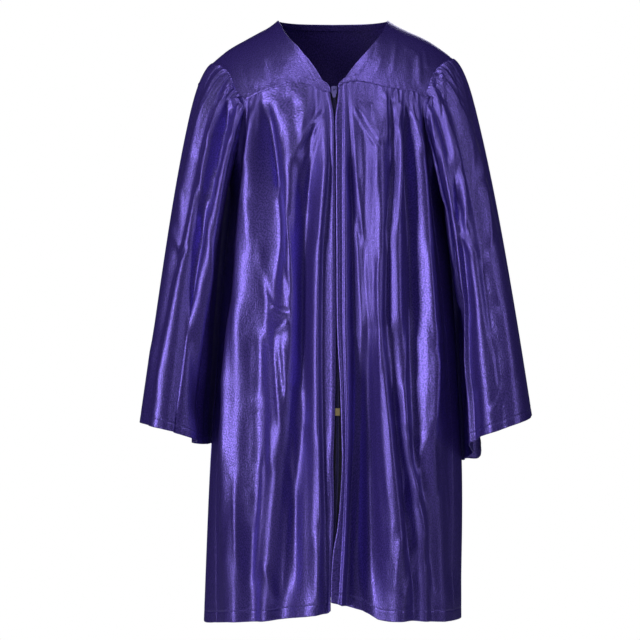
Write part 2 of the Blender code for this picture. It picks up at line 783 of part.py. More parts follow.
def yoke_wall(name, angles, heights, x, back):
    """A yoke's wall. Its shoulder edge stands half a seam's gap from the shoulder line."""
    outer = torso(angles, heights, back)
    outer[..., 0] = x
    toward = 1 if back else -1
    outer[..., 1] = toward * np.maximum(toward * outer[..., 1], SEAM_GAP / 2)
    facing = outer * [0.5, 1.0, 1.0] - np.array([0.0, 0.0, CHEST - 40.0])
    normals = grid_normals(outer)
    along = np.gradient(outer, axis=1)
    upward = np.stack([-along[..., 2], np.zeros(along.shape[:2]), along[..., 0]], -1)
    shoulder = np.abs(outer[..., 1]) <= SHOULDER_BAND
    normals[shoulder] = upward[shoulder]
    normals *= np.sign((normals * facing).sum(-1, keepdims=True))
    normals /= np.linalg.norm(normals, axis=-1, keepdims=True)
    normals[-1] = torso_normal(angles[-1], heights[-1], back)
    return wall(name, outer, outer - CLOTH * normals, SATIN)


def make_back_yoke():
    """The back yoke, in one piece from armhole to armhole."""
    neck_share = 0.5
    across = np.linspace(-1, 1, 2 * BACK_YOKE_COLUMNS + 1)
    down = np.array(YOKE_DOWN, float)
    angles = np.zeros((len(down), len(across)))
    heights = np.zeros_like(angles)
    distances = np.zeros_like(angles)
    for j, u in enumerate(across):
        side = -1 if u < 0 else 1
        tip = ARMHOLE[0, 0 if side < 0 else 2]
        corner = BACK_CORNER[side]
        if abs(u) <= neck_share:
            top_x = NECK_POINT * abs(u) / neck_share
            top_z = BACK_NECK_RISE * (1 - (abs(u) / neck_share) ** 2)
        else:
            top_x = NECK_POINT + (tip - NECK_POINT) * (abs(u) - neck_share) / (1 - neck_share)
            top_z = float(shoulder_height(top_x, side))
        bottom_z = BACK_SEAM + SEAM_GAP / 2
        share = abs(u) ** 3
        edge_angle, edge_z = armhole(down * ARMHOLE_CORNER, side, True)
        edge_x = np.abs(torso(edge_angle, edge_z, True)[..., 0])
        edge_x[0] = tip
        curve_z = (edge_z - edge_z[0]) / (edge_z[-1] - edge_z[0])
        curve_x = (edge_x - edge_x[0]) / (edge_x[-1] - edge_x[0])
        fall = down * (1 - share) + curve_z * share
        inward = down * (1 - share) + curve_x * share
        heights[:, j] = top_z + (bottom_z - top_z) * fall
        distances[:, j] = top_x + (corner * abs(u) - top_x) * inward
        angles[:, j] = angle_at(side * distances[:, j], heights[:, j])
        distances[:, j] *= side
    return yoke_wall("yoke_back", angles, heights, distances, True)


def sleeve_start(side, phi):
    """Where the sleeve starts, a seam's gap off the armhole and, low down, just outside it."""
    place = np.where(phi <= 180, phi, 360 - phi) / 180
    points = []
    for share, angle_round in zip(place, phi):
        back = angle_round > 180
        near = [np.clip(share + step, 0, 1) for step in (-0.02, 0, 0.02)]
        curve = [torso(*armhole(at, side, back), back) for at in near]
        if share in (0, 1):
            away = np.array([side, 0.0, -0.5]) / 1.118 if share == 0 else np.array([0.0, 0.0, 1.0])
            direction = np.array([side, 0.0, 0.0])
        else:
            direction = torso_normal(*armhole(share, side, back), back)
            away = np.cross(direction, curve[2] - curve[0])
            away *= side * np.sign(away[0]) / np.linalg.norm(away)
        low = np.clip((share - 0.5) / 0.2, 0, 1)
        points.append(curve[1] + away * SLEEVE_SEAM_GAP + direction * SLEEVE_SIDE_GAP * low)
    return np.array(points)


def from_table(table, phi):
    return np.stack([smooth(table[:, 0], table[:, i], phi) for i in (1, 2, 3)], -1)


def cuff_point(side, phi):
    cuff = CUFFS[side]
    x, y, z = (smooth(cuff[:, 0], cuff[:, i], phi) for i in (1, 2, 3))
    return np.stack([side * x, y, z], -1)


def keep_clear(side, points, clearance):
    """Moves sleeve points out of the torso, so that the sleeve hangs beside it."""
    x, y, z = (points[..., i] for i in range(3))
    deep = depth(z, y > 0)
    share = np.clip(np.abs(y) / deep, 0, 1)
    torso_x = half_width(z, side) * (1 - share**SHARPNESS) ** (1 / SHARPNESS)
    least = np.where(z < ARMHOLE[4, 1] + 4.0, torso_x + clearance, 0.0)
    short = np.clip(least - side * x, 0, None)
    moved = points.copy()
    moved[..., 0] = x + side * short
    return moved


def make_sleeve(name, side):
    folds = SLEEVE_FOLDS[side]
    phi_columns = []
    count = len(folds)
    for index in range(count):
        phi_columns += [(index, share) for share in BETWEEN_FOLDS]
    stations = ramp(SLEEVE_ROWS, 1.35)
    phis = np.zeros((SLEEVE_ROWS, len(phi_columns)))
    reliefs = np.zeros_like(phis)
    for j, (index, share) in enumerate(phi_columns):
        near, far = folds[index], folds[(index + 1) % count]
        turn = 360.0 if index == count - 1 else 0.0
        start = smooth(SLEEVE_FOLD_STATIONS, near[0], stations)
        end = smooth(SLEEVE_FOLD_STATIONS, far[0], stations) + turn
        phis[:, j] = start + (end - start) * share
        reliefs[:, j] = wave(
            smooth(SLEEVE_FOLD_STATIONS, near[1], stations),
            smooth(SLEEVE_FOLD_STATIONS, far[1], stations),
            share,
        )
    phis %= 360.0
    base = np.zeros((*phis.shape, 3))
    start = sleeve_start(side, phis[0])
    leave = from_table(SLEEVE_LEAVING, phis[0]) * [side, -1, 1]
    for i, s in enumerate(stations):
        end = cuff_point(side, phis[i])
        reach = from_table(SLEEVE_REACHING, phis[i]) * [side, -1, 1]
        base[i] = (
            start * (2 * s**3 - 3 * s**2 + 1)
            + leave * (s**3 - 2 * s**2 + s)
            + end * (3 * s**2 - 2 * s**3)
            + reach * (s**3 - s**2)
        )
    normals = grid_normals(base, closed=True)
    centre = base.mean(axis=1, keepdims=True)
    normals *= np.sign((normals * (base - centre)).sum(-1, keepdims=True).mean(axis=1, keepdims=True))
    outer = base + normals * reliefs[..., None]
    clearance = SLEEVE_CLEARANCE * np.clip(0.75 + stations, 0, 1)[:, None]
    outer[1:] = keep_clear(side, outer, clearance)[1:]
    out = grid_normals(outer, closed=True)
    out *= np.sign((out * normals).sum(-1, keepdims=True))
    return wall(name, outer, outer - CLOTH * out, SATIN, closed=True)


def relief_near(side, x, z):
    """The fronts' relief at any x near the zip."""
    folds = FRONT_FOLDS[side]
    places = [smooth(FRONT_EDGES[:, 0], FRONT_EDGES[:, 1 if side < 0 else 2], z) * side]
    reliefs = [0.0]
    for distances, heights in folds:
        places.append(float(smooth(FOLD_HEIGHTS, distances, z)))
        reliefs.append(float(smooth(FOLD_HEIGHTS, heights, z)))
    distance = side * x
    fade_in = math.sin(min(max((float(seam_height(side, x)) - z) / FADE_IN, 0), 1) * math.pi / 2)
    if distance <= places[0]:
        return 0.0
    index = int(np.searchsorted(places, distance)) - 1
    share = (distance - places[index]) / (places[index + 1] - places[index])
    return float(wave(reliefs[index], reliefs[index + 1], share)) * fade_in


def behind_fronts(x, z, in_from_surface):
    """A point behind the fronts near the zip, at a depth from their outer surface."""
    side = -1 if x < smooth(CHAIN_CENTRE[:, 0], CHAIN_CENTRE[:, 1], z) else 1
    angle = angle_at(x, z)
    direction = torso_normal(angle, z)
    point = torso(angle, z)
    return point + direction * (relief_near(side, x, z) - in_from_surface)


def zip_strip(name, places, depths, look, top=ZIP_TOP, end=ZIP_END, rows=ZIP_ROWS):
    """A strip along the zip, given its columns as distances from the chain's middle."""
    heights = np.linspace(top, end, rows)
    grids = []
    for depth_in in depths:
        grid = np.zeros((rows, len(places), 3))
        for i, z in enumerate(heights):
            middle = float(smooth(CHAIN_CENTRE[:, 0], CHAIN_CENTRE[:, 1], z))
            for j, place in enumerate(places):
                grid[i, j] = behind_fronts(middle + place, z, depth_in)
        grids.append(grid)
    return wall(name, grids[0], grids[1], look)


def make_zip():
    tape = (TAPE_MIDDLE_GAP, 2.5, 4.5, 7.5, TAPE_HALF_WIDTH)
    zip_strip("zip_tape_left", tape, TAPE_DEPTH, TAPE_CLOTH)
    zip_strip("zip_tape_right", [-place for place in reversed(tape)], TAPE_DEPTH, TAPE_CLOTH)
    zip_strip("zip_chain", (-CHAIN_HALF_WIDTH, CHAIN_HALF_WIDTH), CHAIN_DEPTH, NYLON)
    make_bottom_stop()
    make_slider()
    make_pull_tab()


def prism(profile, half_width_x):
    """A solid with a profile of (height, distance out) pushed out to both sides along x."""
    bm = bmesh.new()
    ends = [[bm.verts.new((x, -out, up)) for up, out in profile] for x in (-half_width_x, half_width_x)]
    count = len(profile)
    bm.faces.new(ends[0])
    bm.faces.new(list(reversed(ends[1])))
    for i in range(count):
        k = (i + 1) % count
        bm.faces.new((ends[0][k], ends[0][i], ends[1][i], ends[1][k]))
    bmesh.ops.recalc_face_normals(bm, faces=bm.faces)
    bmesh.ops.triangulate(bm, faces=bm.faces)
    return bm


def place_on_zip(obj, z, out):
    """Sets an object on the zip at a height, leaning as the torso does there."""
    x = float(smooth(CHAIN_CENTRE[:, 0], CHAIN_CENTRE[:, 1], z))
    low, high = torso(angle_at(x, z - 6.0), z - 6.0), torso(angle_at(x, z + 6.0), z + 6.0)
    lean = math.atan2(high[1] - low[1], high[2] - low[2])
    point = (low + high) / 2
    point = point + out * np.array([0.0, -math.cos(lean), math.sin(lean)])
    obj.location = [c * METRES_PER_MM for c in point]
    obj.rotation_euler = (-lean, 0, 0)
    return obj


def join(base, other):
    """Joins other onto base as one solid, and hides other as a helper."""
    union = base.modifiers.new("join", "BOOLEAN")
    union.operation = "UNION"
    union.solver = "EXACT"
    union.object = other
    other.hide_render = True
    other.display_type = "WIRE"
    other.parent = base


def cut(base, other):
    difference = base.modifiers.new("cut", "BOOLEAN")
    difference.operation = "DIFFERENCE"
    difference.solver = "EXACT"
    difference.object = other
    other.hide_render = True
    other.display_type = "WIRE"
    other.parent = base


def make_bottom_stop():
    back = CHAIN_DEPTH[1]
    half = STOP_LENGTH / 2
    outside = [(half, -STOP_FRONT), (half, -back), (-half, -back), (-half, -STOP_FRONT)]
    stop = finish_mesh("zip_bottom_stop", prism(outside, STOP_HALF_WIDTH), BRASS)
    front = STOP_FRONT + STOP_WALL
    channel = [(half + 1, -front), (half + 1, -back - 1), (-half - 1, -back - 1), (-half - 1, -front)]
    cut(stop, finish_mesh("stop_channel", prism(channel, STOP_HALF_WIDTH - STOP_WALL), BRASS))
    return place_on_zip(stop, STOP_HEIGHT, 0.0)


def make_slider():
    out = [(up, away - PULL_OUT) for up, away in SLIDER_PROFILE]
    slider = finish_mesh("zip_slider", prism(out, SLIDER_HALF_WIDTH), ENAMEL)
    arch = [(up, away - PULL_OUT) for up, away in CROWN_PROFILE]
    join(slider, finish_mesh("crown", prism(arch, CROWN_HALF_WIDTH), ENAMEL))
    return place_on_zip(slider, PULL_HEIGHT, PULL_OUT)


def make_pull_tab():
    """The tab hangs from its hinge, a bar through the crown."""
    half = TAB_THICKNESS / 2
    bm = bmesh.new()
    ring = [(w, up) for up, w in TAB_OUTLINE] + [(-w, up) for up, w in reversed(TAB_OUTLINE)]
    sheets = [[bm.verts.new((x, y, up)) for x, up in ring] for y in (-half, half)]
    count = len(ring)
    bm.faces.new(sheets[0])
    bm.faces.new(list(reversed(sheets[1])))
    for i in range(count):
        k = (i + 1) % count
        bm.faces.new((sheets[0][k], sheets[0][i], sheets[1][i], sheets[1][k]))
    bmesh.ops.recalc_face_normals(bm, faces=bm.faces)
    tab = finish_mesh("zip_pull_tab", bm, ENAMEL)
    top, bottom, half_window = TAB_WINDOW
    window = [(top, 2 * half), (top, -2 * half), (bottom, -2 * half), (bottom, 2 * half)]
    cut(tab, finish_mesh("tab_window", prism(window, half_window), ENAMEL))
    return place_on_zip(tab, PULL_HEIGHT, PULL_OUT)


def build():
    for obj in list(bpy.data.objects):
        bpy.data.objects.remove(obj)
    make_front_yoke("yoke_front_right", -1)
    make_front_yoke("yoke_front_left", 1)
    make_back_yoke()
    make_front("front_right", -1)
    make_front("front_left", 1)
    make_back()
    make_sleeve("sleeve_right", -1)
    make_sleeve("sleeve_left", 1)
    make_zip()


build()
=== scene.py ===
"""The looks of the graduation gown: satin cloth, sewing, zip, lights and camera."""

import math

import bpy
import numpy as np
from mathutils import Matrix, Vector


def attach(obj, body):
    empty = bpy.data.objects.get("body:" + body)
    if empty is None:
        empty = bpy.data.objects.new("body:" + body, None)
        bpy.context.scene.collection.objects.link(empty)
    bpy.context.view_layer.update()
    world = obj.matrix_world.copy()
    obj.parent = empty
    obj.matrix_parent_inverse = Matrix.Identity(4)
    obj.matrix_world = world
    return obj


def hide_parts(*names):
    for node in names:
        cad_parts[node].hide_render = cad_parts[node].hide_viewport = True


# Sizes are in millimetres and angles in degrees where a comment doesn't say otherwise. Right
# and left are the wearer's, and side is -1 for the right and 1 for the left.
METRES_PER_MM = 0.001

# Hems and turned edges
HEM_ROLL = 0.55  # radius of the roll where the cloth turns back
ROLL_TURNS = (50, 95, 140, 180)
ALLOWANCE_ROWS = 6  # rows of points on what is turned back
HEM_ALLOWANCE = 12.7
SLEEVE_HEM = 10.0
SIDE_ALLOWANCE = 9.0  # the back's, turned in behind the fronts so that the seam is closed
ZIP_ALLOWANCE = 9.0  # the fronts', turned in beside the zip
YOKE_ALLOWANCE = 4.0  # turned under at the yoke seams
NECK_ALLOWANCE = 8.0
HEM_ROWS = np.array(  # heights above the hem of its closer rows of points, round the stitching
    [0, 1.2, 2.4, 4, 6, 8, 9.5, 10.6, 11.4, 12.2, 12.7, 13.2, 14, 15, 17, 20]
)

# Gathers below a seam, puckers above a yoke seam and ripples above a hem: seed of their
# chance, wavelength, height, and the distance over which they fade
FRONT_GATHERS = (11, 8.5, 1.3, 26.0)
BACK_GATHERS = (21, 8.0, 1.3, 28.0)
SLEEVE_GATHERS = (71, 7.5, 2.3, 30.0)  # with the wavelength in degrees round the sleeve
FRONT_YOKE_PUCKERS = (51, 6.5, 0.35, 9.0)
BACK_YOKE_PUCKERS = (61, 7.0, 0.35, 9.0)
FRONT_RIPPLE = (31, 13.0, 0.45, 16.0)
BACK_RIPPLE = (41, 13.0, 0.45, 16.0)
SLEEVE_RIPPLE = (81, 12.0, 0.4, 14.0)
UNEVEN_WAVES = 5  # added up for one uneven wave
UNEVEN_LEAST = 0.5  # strength of the weakest of them
UNEVEN_SUM = 2.6  # by which their sum is divided, so that it stays near -1 to 1
UNEVENNESS = 0.35  # share by which a wavelength varies
SLEEVE_UNEVENNESS = 0.5
CREASE_END = 0.22  # share of a crease's length over which it fades out at each end
CREASE_END_POWER = 1.5
GATHER_START = 3.0  # below the seam, where the gathers have their full height
GROOVE = (-0.35, 0.9)  # depth and half width of the line that a hem's stitching presses in
YOKE_EDGE_LIFT = (0.5, 2.5)  # height and reach of the thicker cloth above a yoke seam
YOKE_CALM = 0.06  # share of a yoke by its shoulder seam where the creases fade
PUCKER_LEAN = 0.25  # how far the yoke's puckers lean as they rise
ZIP_EDGE_ROLL = (0.9, 1.9, 1.2)  # height, distance in and half width of the rounded edge
ZIP_EDGE_CALM = 5.0  # columns from the zip over which the creases grow
CAP_TUCK = (1.2, 2.0)  # depth and reach of the dip where a sleeve's cap is sewn in
CAP_TOP = (70, 30)  # degrees from the shoulder where the cap's full gathers end, and fade
CAP_SPARSE = 0.4  # share of the gathers' height that is left under the arm
SLEEVE_EDGE_CALM = 0.3  # sine of the angle from its outer and inner line where creases grow

# How finely each piece is meshed
FRONT_LENGTH = 665.0
BACK_LENGTH = 650.0
SLEEVE_LENGTH = 420.0
ROW_CROWDING = 1.2  # above 1 the rows of points are closer towards the gathers
SLEEVE_ROW_CROWDING = 1.25
YOKE_ROW_CROWDING = 1.6
POINTS_A_FOLD = 12
SLEEVE_POINTS_A_FOLD = 20
SIDE_SEAM_POINTS = 17  # from the last fold to the side seam
ZIP_EDGE_POINTS = 7  # from the zip to the first fold
FRONT_POINTS_DOWN = 200
BACK_POINTS_DOWN = 150
SLEEVE_POINTS_DOWN = 150
BACK_NECK_SHARE = 0.5  # of the back yoke's columns that end at the neck
BACK_YOKE_BEND = 3  # power by which only its outer columns take the armhole's curve
YOKE_POINTS_ACROSS = 70
YOKE_POINTS_DOWN = 60
ZIP_POINTS_DOWN = 60
TAPE_POINTS_ACROSS = 6
WIDTH_ROW = 0.7  # share of the way down where the places of a piece's threads are measured
SEAM_GUESS = -90.0  # height from which a column's top is sought along the yoke seam
SEAM_STEPS = 12
ARMHOLE_STEPS = 40  # halvings in the search along the armhole

# Camera, floor and lights, in metres and watts
CAMERA_DISTANCE = 3.0
CAMERA_ACROSS = -0.0165
CAMERA_HEIGHT = -0.380
SENSOR_WIDTH = 36.0  # in millimetres
VIEW_WIDTH = 0.8128  # what the picture's width shows at the gown
FLOOR = -1.3
FLOOR_HALF = 2.4
SKY_TINT = "#8a84ff"
SKY_STRENGTH = 0.035
BACKDROP_STRENGTH = 1.0  # the sky where the camera sees it, as a white backdrop
LIGHTS = (
    # name, place, aim, width and height, watts
    ("left_softbox", (-2.6, -2.4, 0.25), (0, 0, -0.4), (0.7, 2.4), 58),
    ("right_strip", (2.7, -1.0, 0.2), (0, 0, -0.4), (0.3, 1.8), 9),
    ("front_softbox", (1.2, -2.8, 2.1), (0, 0, -0.1), (1.6, 1.2), 15),
    ("top_softbox", (0.0, -1.5, 2.3), (0, 0.05, -0.05), (1.2, 0.8), 22),
    ("back_softbox", (0.5, 3.3, 1.0), (0, 0, -0.4), (1.6, 1.6), 16),
)
# Creases: from (x, height) to (x, height), how far the middle bends aside, half the width,
# and the height, above 0 for a ridge and below it for a trough. The fronts' come first.
CREASES = {-1: [
    (-120, -344, -126, -565, 1, 2.6, -1.3),
    (-111, -356, -115, -601, -1, 2.6, 1.1),
    (-102, -393, -106, -565, 0, 2.4, -1.1),
    (-129, -417, -132, -626, 0, 2.6, 1.1),
    (-126, -344, -123, -577, 0, 14, 2.4),
    (-131, -356, -129, -577, 1, 7, 2.6),
    (-51, -98, -42, -179, 0, 8, -3.4),
    (-93, -393, -95, -479, 2, 5, -1.8),
    (-35, -454, -41, -515, -3, 5, 2),
    (-88, -675, -72, -729, 3, 5, 2.2),
    (-125, -601, -132, -675, -2, 5, -1.8),
    (-76, -95, -60, -212, 0, 9, 3),
    (-80, -393, -75, -577, 0, 8, 2.6),
    (-59, -528, -41, -724, 0, 8, -3),
    (-4, -515, -9, -719, 0, 6, 2.8),
    (-137, -503, -125, -724, -1, 8, 2.4),
    (-149, -393, -147, -724, 0, 7, -2.4),
    (-85, -107, -71, -233, 1, 5, -7),
    (-98, -110, -107, -196, -1, 3, 2),
    (-9, -120, -47, -177, -3, 4, 2.8),
    (-15, -130, -37, -223, -2, 3, 2.2),
    (-20, -136, -41, -181, -2, 2.5, -1.6),
    (-45, -179, -42, -255, 0, 4, -2.5),
    (-28, -157, -34, -251, 0, 3, -2),
    (-9, -172, -17, -297, 0, 4.5, 2.8),
    (-58, -233, -46, -368, 1.5, 2.6, 2.8),
    (-64, -280, -53, -356, 0, 3, -2),
    (-93, -272, -71, -367, -5, 4, 2.2),
    (-80, -359, -48, -371, -3, 3, -3),
    (-75, -395, -51, -378, -2, 5, 3),
    (-73, -383, -63, -518, 0, 3.6, 2.6),
    (-61, -402, -56, -464, 0, 3, 1.6),
    (-67, -411, -61, -481, 0, 2.6, -1.6),
    (-113, -344, -129, -481, 0, 8, 1.8),
    (-111, -393, -104, -509, 0, 6, 1.4),
    (-88, -294, -84, -405, 0, 4, -1.5),
    (-117, -562, -113, -709, -1, 3, 2.2),
    (-88, -528, -102, -717, 4, 4, 2.2),
    (-105, -614, -106, -714, 0, 8, -2.6),
    (-104, -584, -102, -638, 0, 5, 1.4),
    (-79, -503, -75, -565, 0, 4, 1.6),
    (-96, -479, -93, -565, 0, 5, -1.5),
    (-50, -509, -51, -580, 1, 2, 1.4),
    (-55, -587, -64, -724, 0, 3.2, 2.4),
    (-59, -562, -55, -589, 0, 2, 1.2),
    (-46, -589, -48, -724, 0, 5, -1.6),
    (-17, -515, -13, -644, -1, 2.6, 2.2),
    (-19, -636, -17, -734, 0, 6, 3.6),
    (-30, -515, -32, -724, 0, 5, -1.8),
    (-3, -513, -4, -579, 0, 2.5, 1.2),
    (-131, -147, -120, -270, 0, 4, 1.5),
    (-115, -123, -120, -208, 0, 3, 1.6),
    (-105, -221, -100, -307, 0, 4, 1.8),
], 1: [
    (116, -363, 112, -528, 0, 2.4, -1.3),
    (123, -380, 120, -540, 1, 2.4, 1.1),
    (106, -393, 103, -528, 0, 2.4, 1.1),
    (105, -363, 105, -540, 0, 12, 2),
    (52, -208, 47, -356, 1, 2.4, -1.2),
    (111, -375, 112, -547, 0, 6, 2.4),
    (122, -528, 131, -601, 3, 5, -2),
    (100, -650, 82, -731, 3, 5, 2.4),
    (116, -675, 127, -731, -2, 5, 1.8),
    (88, -528, 96, -565, 3, 4, -1.6),
    (47, -307, 42, -393, -2, 5, 1.8),
    (38, -393, 50, -739, 1, 15, -12),
    (62, -378, 90, -729, -2, 6, 3.6),
    (77, -378, 80, -515, 0, 7, -4.5),
    (123, -378, 111, -675, 0, 9, 4),
    (139, -515, 150, -731, 0, 10, -4),
    (24, -380, 18, -577, 0, 5, 2.4),
    (96, -503, 88, -626, 0, 5, -2.4),
    (65, -96, 66, -162, 0, 2.6, 2.2),
    (74, -102, 79, -145, 0, 3, 1.6),
    (84, -110, 79, -140, 0, 2.4, 1.6),
    (89, -105, 110, -179, 2, 3.2, 2.8),
    (69, -100, 71, -172, 0, 3, -2),
    (84, -118, 90, -208, 0, 3.5, -4.5),
    (83, -135, 77, -276, 0, 3, 2.2),
    (98, -103, 103, -135, 0, 2, -1.6),
    (22, -111, 57, -174, -1, 2.4, 2.2),
    (31, -114, 61, -169, 0, 2, 1.6),
    (26, -114, 56, -167, 0, 1.8, -1.4),
    (45, -110, 47, -147, 0, 3, -1.2),
    (72, -181, 63, -286, 0, 2, -2.4),
    (57, -169, 60, -272, 3, 7, 1.8),
    (19, -172, 34, -292, -2, 4, -3),
    (29, -196, 40, -297, -1, 3, 1.6),
    (55, -294, 53, -393, -2, 2.6, 2.8),
    (53, -390, 68, -626, -3, 2.6, 2.8),
    (41, -290, 47, -393, 0, 2.4, 1.6),
    (46, -386, 62, -675, 0, 2.4, 2.2),
    (49, -307, 55, -503, 0, 2, -1.4),
    (68, -280, 68, -399, 0, 2, -2.4),
    (93, -292, 85, -460, 3, 3, 2.2),
    (85, -454, 87, -518, 0, 4, 2.4),
    (112, -280, 120, -417, 0, 2.8, 2.6),
    (120, -411, 116, -518, 2, 3.6, 3),
    (88, -513, 100, -601, 0, 3.6, 2.6),
    (112, -513, 99, -606, 0, 3.8, 2.8),
    (99, -515, 100, -577, 0, 4, -2),
    (103, -609, 111, -648, 0, 3.5, 1.8),
    (87, -574, 101, -714, -2, 2.2, -2.4),
    (80, -636, 72, -719, 0, 3.4, 2.8),
    (93, -690, 95, -731, 0, 4, 2),
    (69, -626, 68, -675, 0, 2.6, 1.6),
    (138, -523, 147, -628, 0, 2, 1.2),
    (125, -393, 131, -515, 0, 5, -2.2),
    (106, -331, 107, -479, 0, 5, -2),
    (78, -294, 78, -393, 0, 6, 1.4),
    (23, -528, 20, -724, 0, 4, -2),
    (35, -503, 30, -675, 0, 3, 1.6),
    (4, -675, 3, -724, 0, 3, 1.4),
]}
SLEEVE_CREASES = {-1: [
    (-185, -204, -194, -299, 2, 4, 2.6),
    (-199, -258, -186, -313, 0, 3.5, 2),
    (-188, -308, -178, -287, 0, 3, -2),
    (-190, -308, -216, -480, -3, 5, 2.6),
    (-176, -355, -188, -505, 0, 4, 1.6),
    (-202, -318, -211, -393, 0, 5, -1.5),
    (-170, -331, -172, -520, 0, 6, -6),
    (-156, -191, -155, -502, 0, 4, 3.4),
    (-166, -169, -166, -293, 0, 4, -3),
    (-221, -405, -228, -495, 0, 5, 1.6),
    (-150, -107, -171, -206, 0, 3.5, 2.4),
    (-138, -82, -158, -169, 2, 2.6, 2.2),
    (-158, -94, -176, -181, 0, 4, 1.8),
    (-129, -75, -138, -156, 0, 2.4, -2.2),
    (-119, -107, -126, -169, 0, 2, 1.8),
    (-134, -107, -148, -206, 0, 3, -3),
], 1: [
    (160, -69, 173, -128, 0, 3.5, 2.2),
    (171, -124, 186, -206, 0, 3.5, 2.6),
    (185, -201, 193, -296, 1, 3.5, 2.8),
    (191, -291, 204, -365, -2, 5, 2.4),
    (201, -355, 217, -458, 0, 9, 2.8),
    (145, -114, 161, -196, -1, 3, 2.6),
    (160, -191, 163, -273, 1.5, 3, 2.6),
    (143, -174, 150, -240, 1, 2.4, 2.4),
    (149, -232, 159, -283, 1, 3, 2.4),
    (154, -273, 178, -307, 2, 5, 3.2),
    (153, -169, 155, -266, 0, 4, -3.8),
    (120, -121, 129, -186, 0, 3, 2.6),
    (128, -179, 138, -243, 0, 3, 2.4),
    (137, -236, 147, -323, 0, 3.4, 2.6),
    (145, -316, 152, -370, 0, 3, 2.2),
    (133, -219, 140, -331, 0, 3, -2.5),
    (156, -337, 166, -520, 0, 7, -6),
    (170, -370, 178, -470, 0, 5, 1.6),
    (176, -119, 180, -231, 0, 4, -2.2),
    (183, -308, 195, -405, 0, 5, -2.2),
    (194, -411, 205, -482, -2, 4, 1.8),
    (209, -453, 193, -497, 3, 3, 1.6),
    (134, -64, 144, -119, 0, 2.2, 2),
    (128, -69, 138, -141, 0, 2.2, -2.2),
    (153, -64, 160, -119, 0, 2.4, -2),
]}
YOKE_CREASES = {-1: [
    (-55, -36, -13, -96, 0, 3, 0.61),
    (-56, -84, -29, -87, 1, 2.4, -0.72),
    (-62, -58, -60, -88, 0, 5, 0.39),
    (-88, -46, -83, -93, 0, 5, 0.44),
    (-34, -58, -19, -88, 0, 2, -0.39),
    (-78, -52, -76, -91, 0, 5, -0.39),
    (-116, -56, -103, -96, 0, 3, -0.44),
], 1: [
    (80, -25, 73, -78, 0, 3.4, 0.5),
    (62, -49, 52, -78, 0, 3, 0.44),
    (107, -41, 109, -96, 0, 3.4, 0.94),
    (115, -39, 117, -66, 0, 3, 0.66),
    (99, -49, 97, -91, 0, 4, -0.55),
    (89, -39, 105, -44, 0, 4, 0.44),
    (40, -58, 23, -86, 0, 3, 0.39),
    (53, -34, 48, -58, 0, 3, -0.39),
]}
BACK_CREASES = [
    (-88, -125, -96, -215, 2, 3.5, 2.4),
    (-62, -122, -60, -190, -1, 2.8, 2.0),
    (-47, -130, -52, -300, 2, 4.0, -2.4),
    (-30, -122, -34, -240, 1, 3.0, 2.2),
    (-12, -126, -16, -180, 0, 2.6, -1.8),
    (6, -122, 10, -260, -2, 3.6, 2.4),
    (24, -124, 22, -200, 0, 2.8, -2.0),
    (38, -122, 44, -330, 2, 3.4, 2.6),
    (55, -128, 60, -210, 0, 3.0, 2.0),
    (72, -122, 84, -280, -3, 3.6, 2.4),
    (90, -130, 104, -240, 1, 3.2, -2.2),
    (-70, -250, -84, -470, 3, 4.5, 2.6),
    (-26, -290, -22, -520, -2, 4.0, 2.4),
    (18, -310, 30, -560, 3, 4.0, 2.8),
    (66, -300, 78, -500, -3, 4.4, 2.4),
    (104, -260, 124, -470, 2, 4.0, 2.2),
    (-104, -280, -124, -560, 0, 4.5, 2.2),
    (-96, -520, -108, -730, 2, 5.0, 2.6),
    (-58, -540, -70, -745, -2, 4.0, 2.2),
    (-8, -560, -2, -740, 2, 5.0, 2.6),
    (40, -600, 52, -745, 0, 4.0, 2.2),
    (88, -540, 100, -735, -3, 5.0, 2.4),
    (-40, -430, -30, -470, 6, 4.0, -2.0),
    (46, -420, 70, -445, -5, 4.0, -2.0),
]
BACK_YOKE_CREASES = [
    (-60, -30, -52, -104, 3, 5.0, 0.9),
    (64, -34, 58, -100, -2, 5.0, 0.9),
    (-20, -60, -12, -108, 0, 6.0, 0.6),
    (30, -70, 20, -110, 0, 5.0, -0.6),
    (-100, -62, -92, -104, 0, 4.0, -0.9),
    (98, -60, 92, -104, 0, 4.0, -0.9),
]
SLEEVE_BACK_CREASES = {-1: [
    (-176, -70, -196, -190, 3, 4.0, 2.6),
    (-160, -80, -168, -210, 0, 3.5, -2.6),
    (-150, -90, -158, -260, 2, 3.5, 2.4),
    (-200, -230, -214, -420, 3, 5.5, 2.6),
    (-180, -260, -190, -480, -2, 5.0, -3.0),
    (-166, -300, -172, -500, 0, 4.0, 2.4),
    (-222, -380, -236, -500, 2, 5.0, 2.0),
    (-190, -300, -204, -318, 4, 4.0, -1.8),
], 1: [
    (174, -68, 190, -200, -3, 4.0, 2.6),
    (160, -84, 168, -230, 0, 3.5, -2.6),
    (150, -92, 160, -250, -2, 3.5, 2.4),
    (196, -220, 216, -410, 2, 5.5, 2.6),
    (184, -280, 196, -490, -2, 5.0, -3.0),
    (170, -310, 176, -520, 0, 4.0, 2.4),
    (224, -390, 238, -510, -2, 5.0, 2.0),
    (206, -330, 190, -345, 4, 4.0, -1.8),
]}
SHEETS = (
    # name, flat width and length, and flat area in square metres, of the cloth that shows
    ("front_right", (0.300, 0.685), 0.163),
    ("front_left", (0.315, 0.685), 0.173),
    ("back", (0.618, 0.660), 0.333),
    ("yoke_front_right", (0.130, 0.165), 0.0131),
    ("yoke_front_left", (0.130, 0.160), 0.0122),
    ("yoke_back", (0.385, 0.155), 0.0395),
    ("sleeve_right", (0.570, 0.482), 0.204),
    ("sleeve_left", (0.575, 0.482), 0.210),
    ("zip_tape_right", (0.0125, 0.588), 0.0066),
    ("zip_tape_left", (0.0125, 0.588), 0.0066),
)
